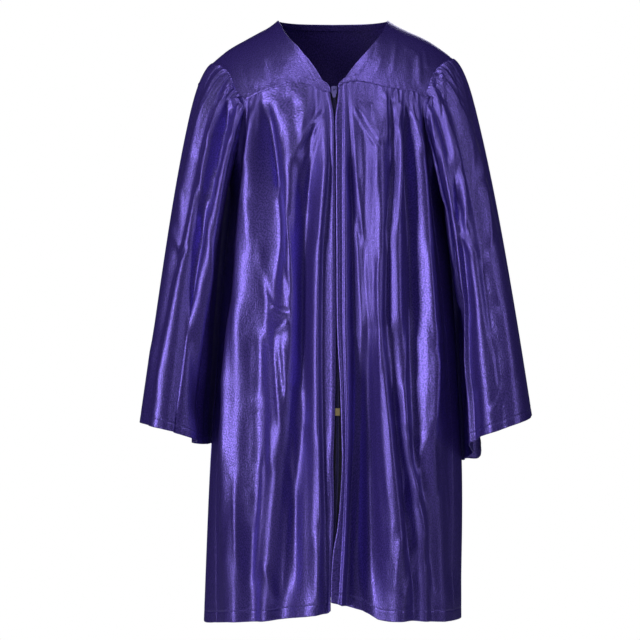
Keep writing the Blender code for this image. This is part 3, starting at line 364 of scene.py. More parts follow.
INNER_HANG = {-1: 0.0, 1: 7.0}  # how far a cuff's inner side hangs in against the body
HANG_START = -350.0  # height below which it does
HANG_GROWTH = 80.0  # over which it grows to its full measure
FLATTER_CUFF = {-1: 0.0, 1: 0.6}  # how much shallower the folds are on a cuff's front
FLATTER_GROWTH = 0.45  # share of the sleeve's length over which they flatten

# The satin's textures: how many to a metre across and along the threads, slant in radians,
# detail, roughness, and height in metres. Its real threads lie about 0.1 mm apart, too fine
# to show, so the grain is drawn 1.3 by 2.1 mm.
CRUMPLES = ((75.0, 32.0, 1.0), 0.0, 2.0, 0.5, 0.0005)  # dents of 13 by 31 mm left by folding
SLUBS = ((330.0, 130.0, 1.0), 0.35, 3.0, 0.6, 0.00024)  # thicker threads, 3 by 8 mm
GRAIN = ((760.0, 480.0, 1.0), 0.6, 1.0, 0.5, 0.0003)

# Sewing thread and zip
STITCH_START = 0.5  # from the end of the hem to the first stitch
STITCH_LENGTH = 2.4
STITCH_GAP = 0.9
STITCH_THICKNESS = 0.26
STITCH_LIFT = 0.5  # of its middle above the cloth, as a share of this thickness
STITCH_SIDES = 6
STITCH_RINGS = ((0, 0.35), (0.2, 1), (0.8, 1), (1, 0.35))  # place along it and share of thickness
COIL_PITCH = 1.3
COIL_START = 0.3  # turns below the tapes' top where the coils start
COIL_STAGGER = 0.25  # turns by which one coil is ahead and the other behind
COIL_POINTS = 8  # on each turn
COIL_SIDES = 5  # of the wire
COIL_REACH = 0.85  # half the width of a coil
COIL_RISE = 0.45  # half its thickness
COIL_WIRE = 0.32  # radius
TAPE_RIB = 0.0022  # width of one slant of the tape's herringbone, in metres
TAPE_RIBS_A_METRE = 900.0  # coarser than the real threads, so that they show
WAVES_A_SCALE = 20  # waves that the wave texture draws in a metre at a scale of 1
EDGE_ROUNDING = 0.12  # of the zip's metal parts

# The torso, the yokes and the armholes
HEM_SIDE = -762.0  # height of the hem at the side seams
CHEST = -150.0  # height where the shoulders' rounding ends
UNDERARM = -203.0
SHARPNESS = 2.3  # exponent of the torso's oval sections, 2 for an ellipse
SIDE_SEAM_ANGLE = 89.99  # where the fronts and the back meet, just short of the oval's end
HEART = CHEST - 40.0  # height of a point inside, from which outward directions are told
HEART_LEVELLING = 0.3  # share of a point's height above it that counts for this
NORMAL_LIMIT = 89.4  # angle up to which the direction out of the torso is measured
NORMAL_STEP = 0.3  # in degrees and millimetres, over which it is measured
BACK_ARMHOLE_DROP = 10.0  # how much lower the armhole runs at the back

# Oval sections of the torso: height, half widths to the wearer's right and left, depths
BODY_SECTIONS = np.array([
    # height, right, left, front, back
    (-40.0, 154.0, 152.5, 84.0, 78.0),
    (-100.0, 148.0, 151.0, 88.0, 80.0),
    (-150.0, 138.5, 147.0, 92.0, 85.0),
    (-203.0, 131.0, 141.0, 95.0, 88.0),
    (-330.0, 140.0, 151.0, 101.0, 95.0),
    (-456.0, 149.0, 158.5, 108.0, 102.0),
    (-546.0, 155.0, 163.0, 113.0, 107.0),
    (-762.0, 164.0, 162.5, 120.0, 116.0),
])

# Height of the shoulders, and of the base of the neck between them, by distance from the centre
SHOULDER_LINE = np.array([
    # distance, right, left
    (0.0, 53.0, 53.0),
    (40.0, 33.0, 33.0),
    (70.0, 0.0, 0.0),
    (82.0, -9.2, -7.6),
    (93.0, -15.1, -13.0),
    (113.0, -26.0, -21.9),
    (123.0, -31.4, -27.2),
    (133.0, -37.5, -33.7),
    (143.5, -45.6, -41.2),
    (152.0, -53.0, -48.3),
    (160.0, -60.0, -55.0),
])
NECK_POINT = 70.0  # from the centre to where the neckline meets the shoulder seam
BACK_NECK_RISE = 1.0

# Armhole from the shoulder tip to the underarm: distance and height on the right and the left
ARMHOLE = np.array([
    # right distance, right height, left distance, left height
    (152.4, -54.0, 151.0, -48.5),
    (140.5, -60.5, 136.0, -58.0),
    (129.0, -72.0, 124.0, -73.5),
    (123.0, -91.0, 117.5, -91.0),
    (110.0, -106.2, 113.7, -104.0),
    (113.5, -133.0, 113.0, -131.0),
    (118.0, -158.0, 118.5, -159.0),
    (124.5, -184.0, 130.5, -186.0),
    (131.0, UNDERARM, 141.0, UNDERARM),
])
ARMHOLE_CORNER = 0.5  # where the yoke seam meets it, as a share of its points

# The edge of the yoke from the neck point down the V to the zip: distance and height
NECK_EDGE = {
    -1: np.array([
        (NECK_POINT, 0.0),
        (62.8, -17.3),
        (55.2, -28.8),
        (43.8, -40.5),
        (36.4, -50.4),
        (29.5, -58.3),
        (20.8, -71.1),
        (12.8, -85.0),
        (8.0, -86.9),
        (4.8, -91.5),
        (3.6, -98.5),
    ]),
    1: np.array([
        (NECK_POINT, 0.0),
        (63.6, -18.6),
        (53.9, -31.5),
        (43.1, -45.1),
        (31.2, -58.2),
        (21.2, -71.1),
        (13.1, -82.0),
        (9.4, -84.5),
        (6.2, -88.0),
        (5.7, -93.5),
    ]),
}

# The yoke seam, from the zip to the armhole: distance and height
YOKE_SEAM = {
    -1: np.array([
        (3.6, -98.5),
        (11.6, -97.7),
        (22.7, -92.6),
        (35.0, -87.2),
        (49.9, -85.0),
        (69.8, -90.5),
        (93.5, -98.5),
        (110.0, -106.2),
    ]),
    1: np.array([
        (5.7, -93.5),
        (9.4, -89.6),
        (18.1, -86.0),
        (26.7, -84.7),
        (40.4, -86.1),
        (55.2, -89.0),
        (85.2, -93.9),
        (104.0, -96.6),
        (114.0, -104.0),
    ]),
}
BACK_SEAM = -116.0  # height of the back yoke's seam
BACK_CORNER = {-1: 110.0, 1: 113.5}  # distance of the back yoke's lower corners
FADE_IN = 45.0  # over which the gathers grow below the yoke seam
YOKE_FACING = (0.5, 1.0, 1.0)  # shares of x, y and z that count for a yoke's outward side
SHOULDER_BAND = 3.0  # depth of the yokes' strip beside the shoulder seam that faces straight up

# Edges of the fronts beside the zip: height, and x of the right and the left front's edge
FRONT_EDGES = np.array([
    # height, right front, left front
    (-88.0, -6.6, 6.4),
    (-106.0, -3.6, 5.4),
    (-122.0, -0.7, 3.3),
    (-171.0, 0.6, 3.2),
    (-294.0, 1.7, 3.8),
    (-404.0, 2.1, 5.1),
    (-460.0, 1.9, 8.3),
    (-513.0, 0.8, 9.8),
    (-555.0, -0.3, 10.7),
    (-595.0, 0.3, 8.6),
    (-636.0, -0.4, 4.7),
    (-663.0, -1.9, -0.2),
    (-688.0, -3.3, -2.3),
    (-762.0, -3.3, -2.3),
])

# Hem height by distance from the centre, as it hangs
FRONT_HEM = {
    -1: np.array([
        (3.0, -734.5),
        (8.0, -738.0),
        (26.0, -740.0),
        (56.0, -744.5),
        (87.0, -749.0),
        (128.0, -752.4),
        (151.0, -756.5),
        (164.0, -760.5),
    ]),
    1: np.array([
        (-2.5, -724.5),
        (8.0, -728.0),
        (27.0, -732.8),
        (37.0, -735.5),
        (47.0, -740.5),
        (57.0, -747.0),
        (67.0, -748.5),
        (96.0, -748.8),
        (137.0, -753.3),
        (163.0, -755.5),
    ]),
}
BACK_HEM = np.array([
    # x, height
    (-164.0, -760.5),
    (-130.0, -752.0),
    (-80.0, -749.0),
    (0.0, -746.0),
    (80.0, -748.0),
    (163.0, -755.5),
])

# Fold lines of the fronts, as distances from the centre and relief at seven heights.
# Ridges have relief above 0 and troughs below it.
FOLD_HEIGHTS = np.array([-109.0, -183.0, -282.0, -393.0, -528.0, -637.0, -741.0])
FRONT_FOLDS = {-1: [
    # distances, reliefs
    ((8, 5, 12, 13, 12, 8.5, 9.5), (0, -1, -2, -2, -2, -3, -3)),
    ((11.5, 9, 16.5, 20, 19, 18, 21.5), (2, 5, 7, 7, 8, 10, 12)),
    ((20, 28.5, 37.5, 40, 42, 53.5, 65), (-1, -6, -12, -13, -11, -9, -9)),
    ((30.5, 50, 54, 52, 65, 77, 83.5), (2, 7, 9, 9, 7, 5, 4)),
    ((88, 80.5, 69.5, 88, 87.5, 100.5, 100.5), (-4, -13, -9, -3, -4, -5, -5)),
    ((96, 104, 113.5, 117.5, 127.5, 118.5, 120.5), (3, 8, 8, 8, 7, 8, 8)),
    ((110, 116, 127, 136, 148, 150, 147), (-2, -4, -4, -4, -2, -2, -3)),
], 1: [
    ((11.5, 10.5, 10.5, 11, 14.5, 11, 4), (-1, -1, -1, -1, -1, -2, -2)),
    ((14.5, 14, 14, 14.5, 17, 14.5, 9), (1, 1, 1, 1, 1, 1, 1)),
    ((18.5, 22, 24, 26.5, 25, 20.5, 16.5), (-1, -7, -10, -12, -14, -16, -17)),
    ((23, 28.5, 30.5, 36, 37, 33.5, 29), (1, -3, -5, -6, -9, -12, -14)),
    ((30.5, 38.5, 36, 42.5, 45.5, 47.5, 47.5), (0, -1, -4, -6, -11, -15, -16)),
    ((63, 53, 57.5, 55.5, 65.5, 74, 80.5), (4, 10, 9, 10, 11, 10, 8)),
    ((72.5, 74.5, 66.5, 66.5, 79, 94.5, 102), (-1, -2, 1, -1, -3, -5, -5)),
    ((81.5, 83, 78, 80, 88.5, 105.5, 112.5), (4, 6, 7, 7, 8, 5, 3)),
    ((90.5, 93, 99, 99.5, 101.5, 118.5, 123.5), (-3, -12, -13, -12, -3, -4, -3)),
    ((100.5, 109, 114, 119, 119.5, 133, 135), (4, 7, 9, 11, 8, 2, 2)),
    ((114, 121, 133.5, 143, 151, 151.5, 150.5), (-3, -5, -6, -4, -3, -1, -1)),
]}
# Fold lines of the back, as x and relief at four heights
BACK_FOLD_HEIGHTS = np.array([-112.0, -190.0, -430.0, -750.0])
BACK_FOLDS = [
    # x positions, reliefs
    ((-110, -119, -140, -150), (-2, -4, -4, -2)),
    ((-98, -101, -118, -132), (3, 7, 9, 9)),
    ((-84, -86, -97, -110), (-3, -9, -10, -8)),
    ((-70, -69, -76, -90), (3, 7, 8, 7)),
    ((-54, -55, -58, -70), (-4, -9, -11, -11)),
    ((-38, -38, -37, -44), (3, 7, 9, 10)),
    ((-21, -20, -20, -22), (-3, -8, -7, -9)),
    ((-5, -2, 2, -2), (3, 6, 8, 8)),
    ((12, 15, 20, 19), (-3, -8, -11, -9)),
    ((29, 32, 38, 42), (3, 8, 9, 10)),
    ((46, 49, 58, 62), (-4, -9, -9, -10)),
    ((63, 66, 78, 84), (3, 7, 9, 9)),
    ((80, 83, 99, 108), (-3, -8, -10, -9)),
    ((97, 101, 121, 132), (3, 7, 8, 7)),
    ((113.5, 123, 146, 152), (-2, -4, -4, -2)),
]

# The cuffs: angle round the sleeve from its outer side, distance from the centre, y and height
CUFFS = {
    -1: np.array([
        (0, 244, 0, -508),
        (30, 240, -48, -508),
        (60, 226, -88, -510),
        (90, 203, -104, -515),
        (115, 186, -98, -520),
        (130, 174, -72, -528),
        (150, 166, -42, -534),
        (180, 159, 0, -537),
        (210, 152, 50, -536),
        (235, 160, 84, -532),
        (270, 196, 104, -520),
        (305, 224, 90, -511),
        (330, 238, 50, -509),
        (360, 244, 0, -508),
    ], float),
    1: np.array([
        (0, 252, 0, -501),
        (30, 246, -48, -501.6),
        (60, 233, -88, -504.6),
        (90, 211, -104, -512),
        (115, 192, -98, -520),
        (130, 180, -76, -527),
        (150, 174, -44, -545),
        (180, 170, 0, -557),
        (208, 178, 48, -558),
        (226, 189.5, 74, -555),
        (238, 195, 88, -530),
        (270, 214, 106, -518),
        (305, 236, 90, -506),
        (330, 247, 50, -502),
        (360, 252, 0, -501),
    ], float),
}
# Direction in which the sleeve leaves the armhole: outward, forward and up
SLEEVE_LEAVING = np.array([
    # angle, outward, forward, up
    (0.0, 100.0, 0.0, -30.0),
    (45.0, 92.0, 40.0, -55.0),
    (90.0, 75.0, 45.0, -160.0),
    (130.0, 55.0, 15.0, -300.0),
    (180.0, 40.0, 0.0, -300.0),
    (230.0, 55.0, -15.0, -300.0),
    (270.0, 75.0, -45.0, -160.0),
    (315.0, 92.0, -40.0, -55.0),
    (360.0, 100.0, 0.0, -30.0),
])
# Direction in which it reaches the cuff
SLEEVE_REACHING = np.array([
    # angle, outward, forward, up
    (0.0, 62.0, 0.0, -400.0),
    (90.0, 40.0, 25.0, -380.0),
    (180.0, 18.0, 0.0, -330.0),
    (270.0, 40.0, -25.0, -380.0),
    (360.0, 62.0, 0.0, -400.0),
])
CAP_UNDER = -1.2  # the sleeve's start, below 0 for under the armhole's edge, to close the seam
SLEEVE_SIDE_GAP = 1.8  # out from the torso low on the armhole
LOW_ARMHOLE_GROWTH = 0.2  # share of the armhole over which this gap grows
ARMHOLE_STEP = 0.02  # share of the armhole over which its direction is measured
BESIDE_TORSO = 4.0  # above the armhole's fifth point, up to where a sleeve is kept clear
SLEEVE_CLEARANCE = 3.0  # between a sleeve and the torso
CAP_CLEARANCE = 0.75  # share of it that is kept at the cap
SLEEVE_FOLD_STATIONS = np.array([0.0, 0.16, 0.34, 0.62, 1.0])
SLEEVE_FOLDS = {-1: [
    # angles from the shoulder round the front, reliefs
    ((12, 14, 12, 10, 10), (0, 2, 1, 0, 0)),
    ((28, 33, 38, 44, 34), (0, 4, 5, 4, 2)),
    ((44, 52, 58, 60, 52), (0, -4, -2, -2, -1)),
    ((60, 68, 77, 76, 70), (0, 5, 7, 7, 6)),
    ((75, 84, 95, 100, 108), (0, -6, -7, -8, -9)),
    ((90, 97, 110, 120, 130), (0, 5, 6, 6, 5)),
    ((112, 122, 138, 146, 150), (0, -12, -20, -20, -10)),
    ((145, 152, 162, 166, 170), (0, -3, -6, -6, -3)),
    ((180, 180, 180, 180, 180), (0, 0, 0, 0, 0)),
    ((222, 218, 212, 208, 206), (0, 3, 4, 4, 4)),
    ((247, 241, 234, 228, 226), (0, -4, -6, -6, -5)),
    ((270, 262, 256, 250, 248), (0, 5, 7, 7, 7)),
    ((285, 281, 276, 272, 270), (0, -5, -6, -7, -7)),
    ((300, 298, 296, 294, 294), (0, 5, 6, 6, 6)),
    ((318, 318, 318, 318, 318), (0, -4, -5, -5, -4)),
    ((340, 339, 340, 340, 340), (0, 4, 4, 4, 3)),
], 1: [
    ((12, 12, 10, 10, 12), (0, 1, 0, 0, 0)),
    ((28, 34, 44, 60, 72), (0, 4, 7, 9, 8)),
    ((45, 60, 76, 84, 98), (0, -6, -7, -5, -4)),
    ((60, 76, 92, 104, 116), (0, 5, 6, 7, 4)),
    ((75, 90, 107, 124, 132), (0, -5, -6, -6, -5)),
    ((90, 104, 116, 128, 136), (0, 4, 5, 5, 4)),
    ((112, 124, 140, 148, 152), (0, -10, -18, -18, -8)),
    ((145, 152, 162, 166, 170), (0, -3, -6, -6, -2)),
    ((180, 180, 180, 180, 180), (0, 0, 0, 0, 0)),
    ((222, 218, 212, 206, 202), (0, 3, 4, 4, 3)),
    ((247, 241, 232, 228, 224), (0, -4, -6, -6, -5)),
    ((270, 262, 254, 252, 248), (0, 5, 7, 8, 8)),
    ((285, 281, 276, 274, 270), (0, -5, -6, -7, -7)),
    ((300, 298, 298, 296, 294), (0, 5, 6, 6, 6)),
    ((318, 318, 320, 318, 318), (0, -4, -5, -5, -4)),
    ((340, 339, 340, 340, 340), (0, 4, 4, 3, 3)),
]}

# Zip, with depths measured in from the torso's surface and its folds
CHAIN_CENTRE = np.array([
    # height, x
    (-90.0, 0.9),
    (-120.0, 1.2),
    (-300.0, 2.6),
    (-490.0, 4.9),
    (-540.0, 5.0),
    (-684.0, -1.5),
])
CHAIN_HALF_WIDTH = 2.0
CHAIN_DEPTH = (2.1, 3.7)
TAPE_HALF_WIDTH = 11.0
TAPE_DEPTH = (4.3, 5.1)
TAPE_MIDDLE_GAP = 0.3  # from the chain's middle to a tape
ZIP_TOP = -97.0
ZIP_END = -684.0


def colour(hex_code):
    """An sRGB hex value as linear red, green, blue and alpha."""
    channels = [int(hex_code[i : i + 2], 16) / 255 for i in (1, 3, 5)]
    linear = [c / 12.92 if c <= 0.04045 else ((c + 0.055) / 1.055) ** 2.4 for c in channels]
    return (*linear, 1.0)


def add(tree, kind, inputs=None, **settings):
    """Adds a node with its settings. An input is a value or another node's output."""
    made = tree.nodes.new(kind)
    for key, value in settings.items():
        setattr(made, key, value)
    for key, value in (inputs or {}).items():
        socket = made.inputs[key]
        if isinstance(value, bpy.types.NodeSocket):
            tree.links.new(value, socket)
        else:
            socket.default_value = value
    return made


def new_material(name):
    """A new material and its empty node tree."""
    look = bpy.data.materials.new(name)
    look.use_nodes = True
    look.node_tree.nodes.clear()
    return look, look.node_tree


def between(start, leaving, end, reaching, t):
    """The curve from start to end that leaves and reaches them at these slopes, at shares t."""
    return (
        start * (2 * t**3 - 3 * t**2 + 1)
        + leaving * (t**3 - 2 * t**2 + t)
        + end * (3 * t**2 - 2 * t**3)
        + reaching * (t**3 - t**2)
    )


def smooth(stations, values, at):
    """A smooth curve through values at the stations, read at the given places."""
    stations = np.asarray(stations, float)
    values = np.asarray(values, float)
    if stations[0] > stations[-1]:
        stations, values = stations[::-1], values[::-1]
    slopes = np.gradient(values, stations)
    at = np.clip(np.asarray(at, float), stations[0], stations[-1])
    place = np.clip(np.searchsorted(stations, at) - 1, 0, len(stations) - 2)
    step = stations[place + 1] - stations[place]
    t = (at - stations[place]) / step
    before, after = slopes[place] * step, slopes[place + 1] * step
    return between(values[place], before, values[place + 1], after, t)


def read(table, at, column=1):
    """A smooth curve through one column of a table against its first, read at given places."""
    return smooth(table[:, 0], table[:, column], at)


def unit(vectors):
    """The vectors at a length of 1."""
    return vectors / np.maximum(np.linalg.norm(vectors, axis=-1, keepdims=True), 1e-9)


def turned_to(directions, outward):
    """The directions, reversed where they point against the outward ones."""
    return directions * np.sign((directions * outward).sum(-1, keepdims=True))


def travelled(points):
    """How far the points lie along their line, or along each column of a grid."""
    steps = np.linalg.norm(np.diff(points, axis=0), axis=-1)
    return np.concatenate([np.zeros((1, *steps.shape[1:])), np.cumsum(steps, axis=0)])


def on_line(line_points, along, distance):
    """The point or direction at a distance along a line of them."""
    return np.stack([np.interp(distance, along, line_points[:, k]) for k in range(3)], -1)


def half_width(z, side):
    """Half the torso's width at a height, on one side."""
    right_side = np.asarray(side) < 0
    return np.where(right_side, read(BODY_SECTIONS, z, 1), read(BODY_SECTIONS, z, 2))


def shoulder_height(distance, side):
    """Height of the shoulder at a distance from the centre."""
    right_side = np.asarray(side) < 0
    return np.where(right_side, read(SHOULDER_LINE, distance, 1), read(SHOULDER_LINE, distance, 2))


def depth(z, back):
    """How far the torso's front or back lies from its middle at a height."""
    return np.where(back, read(BODY_SECTIONS, z, 4), read(BODY_SECTIONS, z, 3))


def front_edge(side, z):
    """x of a front's edge beside the zip at a height."""
    return read(FRONT_EDGES, z, 1 if side < 0 else 2)


def angle_at(x, z):
    """Angle round the torso, from the centre line to 90 at the side seam, with the sign of x."""
    share = np.clip(np.abs(x) / half_width(z, x), 0, 1)
    return np.sign(x) * np.degrees(np.arcsin(np.sqrt(share**SHARPNESS)))


def torso(angle, z, back=False):
    """A point on the smooth torso. Angles run to 90 at the wearer's left, -90 at the right."""
    angle, z = np.broadcast_arrays(np.radians(angle), np.asarray(z, float))
    x = np.sign(angle) * half_width(z, angle) * np.abs(np.sin(angle)) ** (2 / SHARPNESS)
    top = shoulder_height(np.abs(x), x)
    rise = np.clip((z - CHEST) / (top - CHEST), 0, 1)
    y = depth(z, back) * np.abs(np.cos(angle)) ** (2 / SHARPNESS) * np.sqrt(1 - rise**2)
    return np.stack([x, np.where(back, y, -y), z], axis=-1)


def torso_normal(angle, z, back=False):
    """Outward direction of the smooth torso."""
    angle = np.clip(angle, -NORMAL_LIMIT, NORMAL_LIMIT)
    step = NORMAL_STEP
    across = torso(angle + step, z, back) - torso(angle - step, z, back)
    up = torso(angle, z + step, back) - torso(angle, z - step, back)
    facing = torso(angle, z, back) - np.array([0.0, 0.0, HEART])
    facing[..., 2] *= HEART_LEVELLING
    return turned_to(unit(np.cross(across, up)), facing)


def armhole(place, side, back=False):
    """Angle and height on the armhole, from 0 at the shoulder tip to 1 at the underarm."""
    stations = np.linspace(0, 1, len(ARMHOLE))
    column = 0 if side < 0 else 2
    x = smooth(stations, ARMHOLE[:, column], place)
    z = smooth(stations, ARMHOLE[:, column + 1], place)
    if back:
        z = z - BACK_ARMHOLE_DROP * np.sin(np.pi * np.clip(np.asarray(place, float), 0, 1)) ** 2
    angle = side * np.abs(angle_at(x * side, z))
    ends = (np.asarray(place) <= 0) | (np.asarray(place) >= 1)
    return np.where(ends, side * 90.0, angle), z


def wave(start, end, share):
    """From start to end along half a cosine, as a soft fold runs from a ridge to a trough."""
    return start + (end - start) * (1 - np.cos(np.pi * share)) / 2


def grid_normals(points, closed=False):
    """Direction across a grid of points, from its neighbours along rows and columns."""
    if closed:
        across = np.roll(points, -1, 1) - np.roll(points, 1, 1)
    else:
        across = np.gradient(points, axis=1)
    return unit(np.cross(across, np.gradient(points, axis=0)))


def fold_profile(folds, heights, column, z):
    """Position and relief of a column between two fold lines, at the heights z."""
    index = int(column)
    share = column - index
    near = folds[index]
    far = folds[min(index + 1, len(folds) - 1)]
    here = smooth(heights, near[0], z)
    there = smooth(heights, far[0], z)
    relief = wave(smooth(heights, near[1], z), smooth(heights, far[1], z), share)
    return here, there, share, relief


def front_place(side, kind, column, z):
    """Angle round the torso and relief of one column of a front, at the heights z."""
    folds = FRONT_FOLDS[side]
    edge_x = front_edge(side, z)
    if kind == "edge":
        first = side * smooth(FOLD_HEIGHTS, folds[0][0], z)
        x = edge_x + (first - edge_x) * column
        relief = wave(0.0, smooth(FOLD_HEIGHTS, folds[0][1], z), column)
        return angle_at(x, z), relief
    if kind == "fold":
        here, there, share, relief = fold_profile(folds, FOLD_HEIGHTS, column, z)
        start, end = angle_at(side * here, z), angle_at(side * there, z)
        return start + (end - start) * share, relief
    start = angle_at(side * smooth(FOLD_HEIGHTS, folds[-1][0], z), z)
    relief = wave(smooth(FOLD_HEIGHTS, folds[-1][1], z), 0.0, column)
    return start + (side * 90.0 - start) * column, relief


def seam_height(side, x):
    """Height of the front yoke's seam at a distance from the centre."""
    return read(YOKE_SEAM[side], np.abs(x))


def armhole_top(side, back, place, column):
    """Height where a column, whose angle comes from the place function, meets the armhole."""
    low, high = ARMHOLE_CORNER, 1.0
    for _ in range(ARMHOLE_STEPS):
        middle = (low + high) / 2
        angle, z = armhole(middle, side, back)
        beyond = abs(place(*column, z)[0]) > abs(angle)
        low, high = (middle, high) if beyond else (low, middle)
    return float(armhole((low + high) / 2, side, back)[1])


def front_top(side, kind, column):
    """Height where a column of a front meets the yoke seam or the armhole."""
    if kind == "armhole":
        return armhole_top(side, False, front_place, (side, kind, column))
    z = SEAM_GUESS
    for _ in range(SEAM_STEPS):
        angle, _relief = front_place(side, kind, column, z)
        z = float(seam_height(side, torso(angle, z)[..., 0]))
    return z


def back_place(column, z):
    """Angle and relief of a column of the back, from the right side seam to the left."""
    count = len(BACK_FOLDS)
    if column < 1:
        end = angle_at(smooth(BACK_FOLD_HEIGHTS, BACK_FOLDS[0][0], z), z)
        relief = wave(0.0, smooth(BACK_FOLD_HEIGHTS, BACK_FOLDS[0][1], z), column)
        return -90.0 + (end + 90.0) * column, relief
    if column > count:
        start = angle_at(smooth(BACK_FOLD_HEIGHTS, BACK_FOLDS[-1][0], z), z)
        share = column - count
        relief = wave(smooth(BACK_FOLD_HEIGHTS, BACK_FOLDS[-1][1], z), 0.0, share)
        return start + (90.0 - start) * share, relief
    here, there, share, relief = fold_profile(BACK_FOLDS, BACK_FOLD_HEIGHTS, column - 1, z)
    start, end = angle_at(here, z), angle_at(there, z)
    return start + (end - start) * share, relief


def back_top(column):
    """Height where a column of the back meets the back yoke's seam or the armhole."""
    count = len(BACK_FOLDS)
    if 1 <= column <= count:
        return BACK_SEAM
    return armhole_top(-1 if column < 1 else 1, True, back_place, (column,))


def line(points, places):
    """Points along a broken line, at shares of its length."""
    steps = np.linalg.norm(np.diff(points, axis=0), axis=1)
    along = np.concatenate([[0], np.cumsum(steps)]) / steps.sum()
    return np.stack([np.interp(places, along, points[:, i]) for i in range(2)], axis=-1)


def sleeve_start(side, phi):
    """Where the sleeve starts, tucked under the armhole's edge and, low down, just outside it."""
    place = np.where(phi <= 180, phi, 360 - phi) / 180
    points = []
    for share, angle_round in zip(place, phi):
        back = angle_round > 180
        near = [np.clip(share + step, 0, 1) for step in (-ARMHOLE_STEP, 0, ARMHOLE_STEP)]
        curve = [torso(*armhole(at, side, back), back) for at in near]
        if share in (0, 1):
            away = np.array([side, 0.0, -0.5]) / 1.118  # at the tip, out and down at a length of 1
            away = away if share == 0 else np.array([0.0, 0.0, 1.0])
            direction = np.array([side, 0.0, 0.0])
        else:
            direction = torso_normal(*armhole(share, side, back), back)
            away = np.cross(direction, curve[2] - curve[0])
            away *= side * np.sign(away[0]) / np.linalg.norm(away)
        low = np.clip((share - ARMHOLE_CORNER) / LOW_ARMHOLE_GROWTH, 0, 1)
        points.append(curve[1] + away * CAP_UNDER + direction * SLEEVE_SIDE_GAP * low)
    return np.array(points)


def from_table(table, phi):
    """The directions of a table, read at angles round the sleeve."""
    return np.stack([read(table, phi, i) for i in (1, 2, 3)], -1)


def cuff_point(side, phi):
    """Points of the cuff's edge at angles round the sleeve."""
    return from_table(CUFFS[side], phi) * [side, 1, 1]


def keep_clear(side, points, clearance):
    """Moves sleeve points out of the torso, so that the sleeve hangs beside it."""
    x, y, z = (points[..., i] for i in range(3))
    deep = depth(z, y > 0)
    share = np.clip(np.abs(y) / deep, 0, 1)
    torso_x = half_width(z, side) * (1 - share**SHARPNESS) ** (1 / SHARPNESS)
    least = np.where(z < ARMHOLE[4, 1] + BESIDE_TORSO, torso_x + clearance, 0.0)
    short = np.clip(least - side * x, 0, None)
    moved = points.copy()
    moved[..., 0] = x + side * short
    return moved


def relief_near(side, x, z):
    """The fronts' relief at any x near the zip."""
    folds = FRONT_FOLDS[side]
    places = [front_edge(side, z) * side]
    reliefs = [0.0]
    for distances, heights in folds:
        places.append(float(smooth(FOLD_HEIGHTS, distances, z)))
        reliefs.append(float(smooth(FOLD_HEIGHTS, heights, z)))
    distance = side * x
    fade_in = math.sin(min(max((float(seam_height(side, x)) - z) / FADE_IN, 0), 1) * math.pi / 2)
    if distance <= places[0]:
        return 0.0
    index = int(np.searchsorted(places, distance)) - 1
    share = (distance - places[index]) / (places[index + 1] - places[index])
    return float(wave(reliefs[index], reliefs[index + 1], share)) * fade_in


def behind_fronts(x, z, in_from_surface):
    """A point behind the fronts near the zip, at a depth from their outer surface."""
    side = -1 if x < read(CHAIN_CENTRE, z) else 1
    angle = angle_at(x, z)
    direction = torso_normal(angle, z)
    point = torso(angle, z)
    return point + direction * (relief_near(side, x, z) - in_from_surface)


# The making of each cloth piece: a grid of points in millimetres, down the rows and across
# the columns, that follows its solid more finely and carries the creases.


def points_along(grid, distance):
    """Points at a distance up each column from the grid's last row."""
    up = grid[::-1]
    along = travelled(up)
    return np.array([on_line(up[:, j], along[:, j], distance) for j in range(grid.shape[1])])


def turned_up(grid, outward, allowance):
    """Adds the hem at the last row: the cloth rolls inwards and runs back up inside."""
    edge, away = grid[-1], outward[-1]
    down = unit(edge - grid[-2])
    rows, facing = [], []
    for turn in ROLL_TURNS:
        swing = math.radians(turn)
        rows.append(edge + HEM_ROLL * (down * math.sin(swing) - away * (1 - math.cos(swing))))
        facing.append(away)
    for distance in np.linspace(allowance / ALLOWANCE_ROWS, allowance, ALLOWANCE_ROWS):
        rows.append(points_along(grid, distance) - 2 * HEM_ROLL * away)
        facing.append(away)
    return np.concatenate([grid, rows]), np.concatenate([outward, facing])


def sideways(grid):
    """The grid with its rows and columns exchanged."""
    return grid.transpose(1, 0, 2)


def turned_edges(grid, outward, top=0, bottom=0, start=0, end=0):
    """Turns in the edges that have an allowance: the top and last rows, first and last columns."""
    if end:
        grid, outward = turned_up(sideways(grid), sideways(outward), end)
        grid, outward = sideways(grid), sideways(outward)
    if start:
        grid, outward = turned_up(sideways(grid)[::-1], sideways(outward)[::-1], start)
        grid, outward = sideways(grid[::-1]), sideways(outward[::-1])
    if top:
        grid, outward = turned_up(grid[::-1], outward[::-1], top)
        grid, outward = grid[::-1], outward[::-1]
    if bottom:
        grid, outward = turned_up(grid, outward, bottom)
    return grid, outward


def squares(index):
    """The four corners of each square of a grid of numbers."""
    corners = (index[:-1, :-1], index[1:, :-1], index[1:, 1:], index[:-1, 1:])
    return np.stack(corners, axis=-1).reshape(-1, 4)


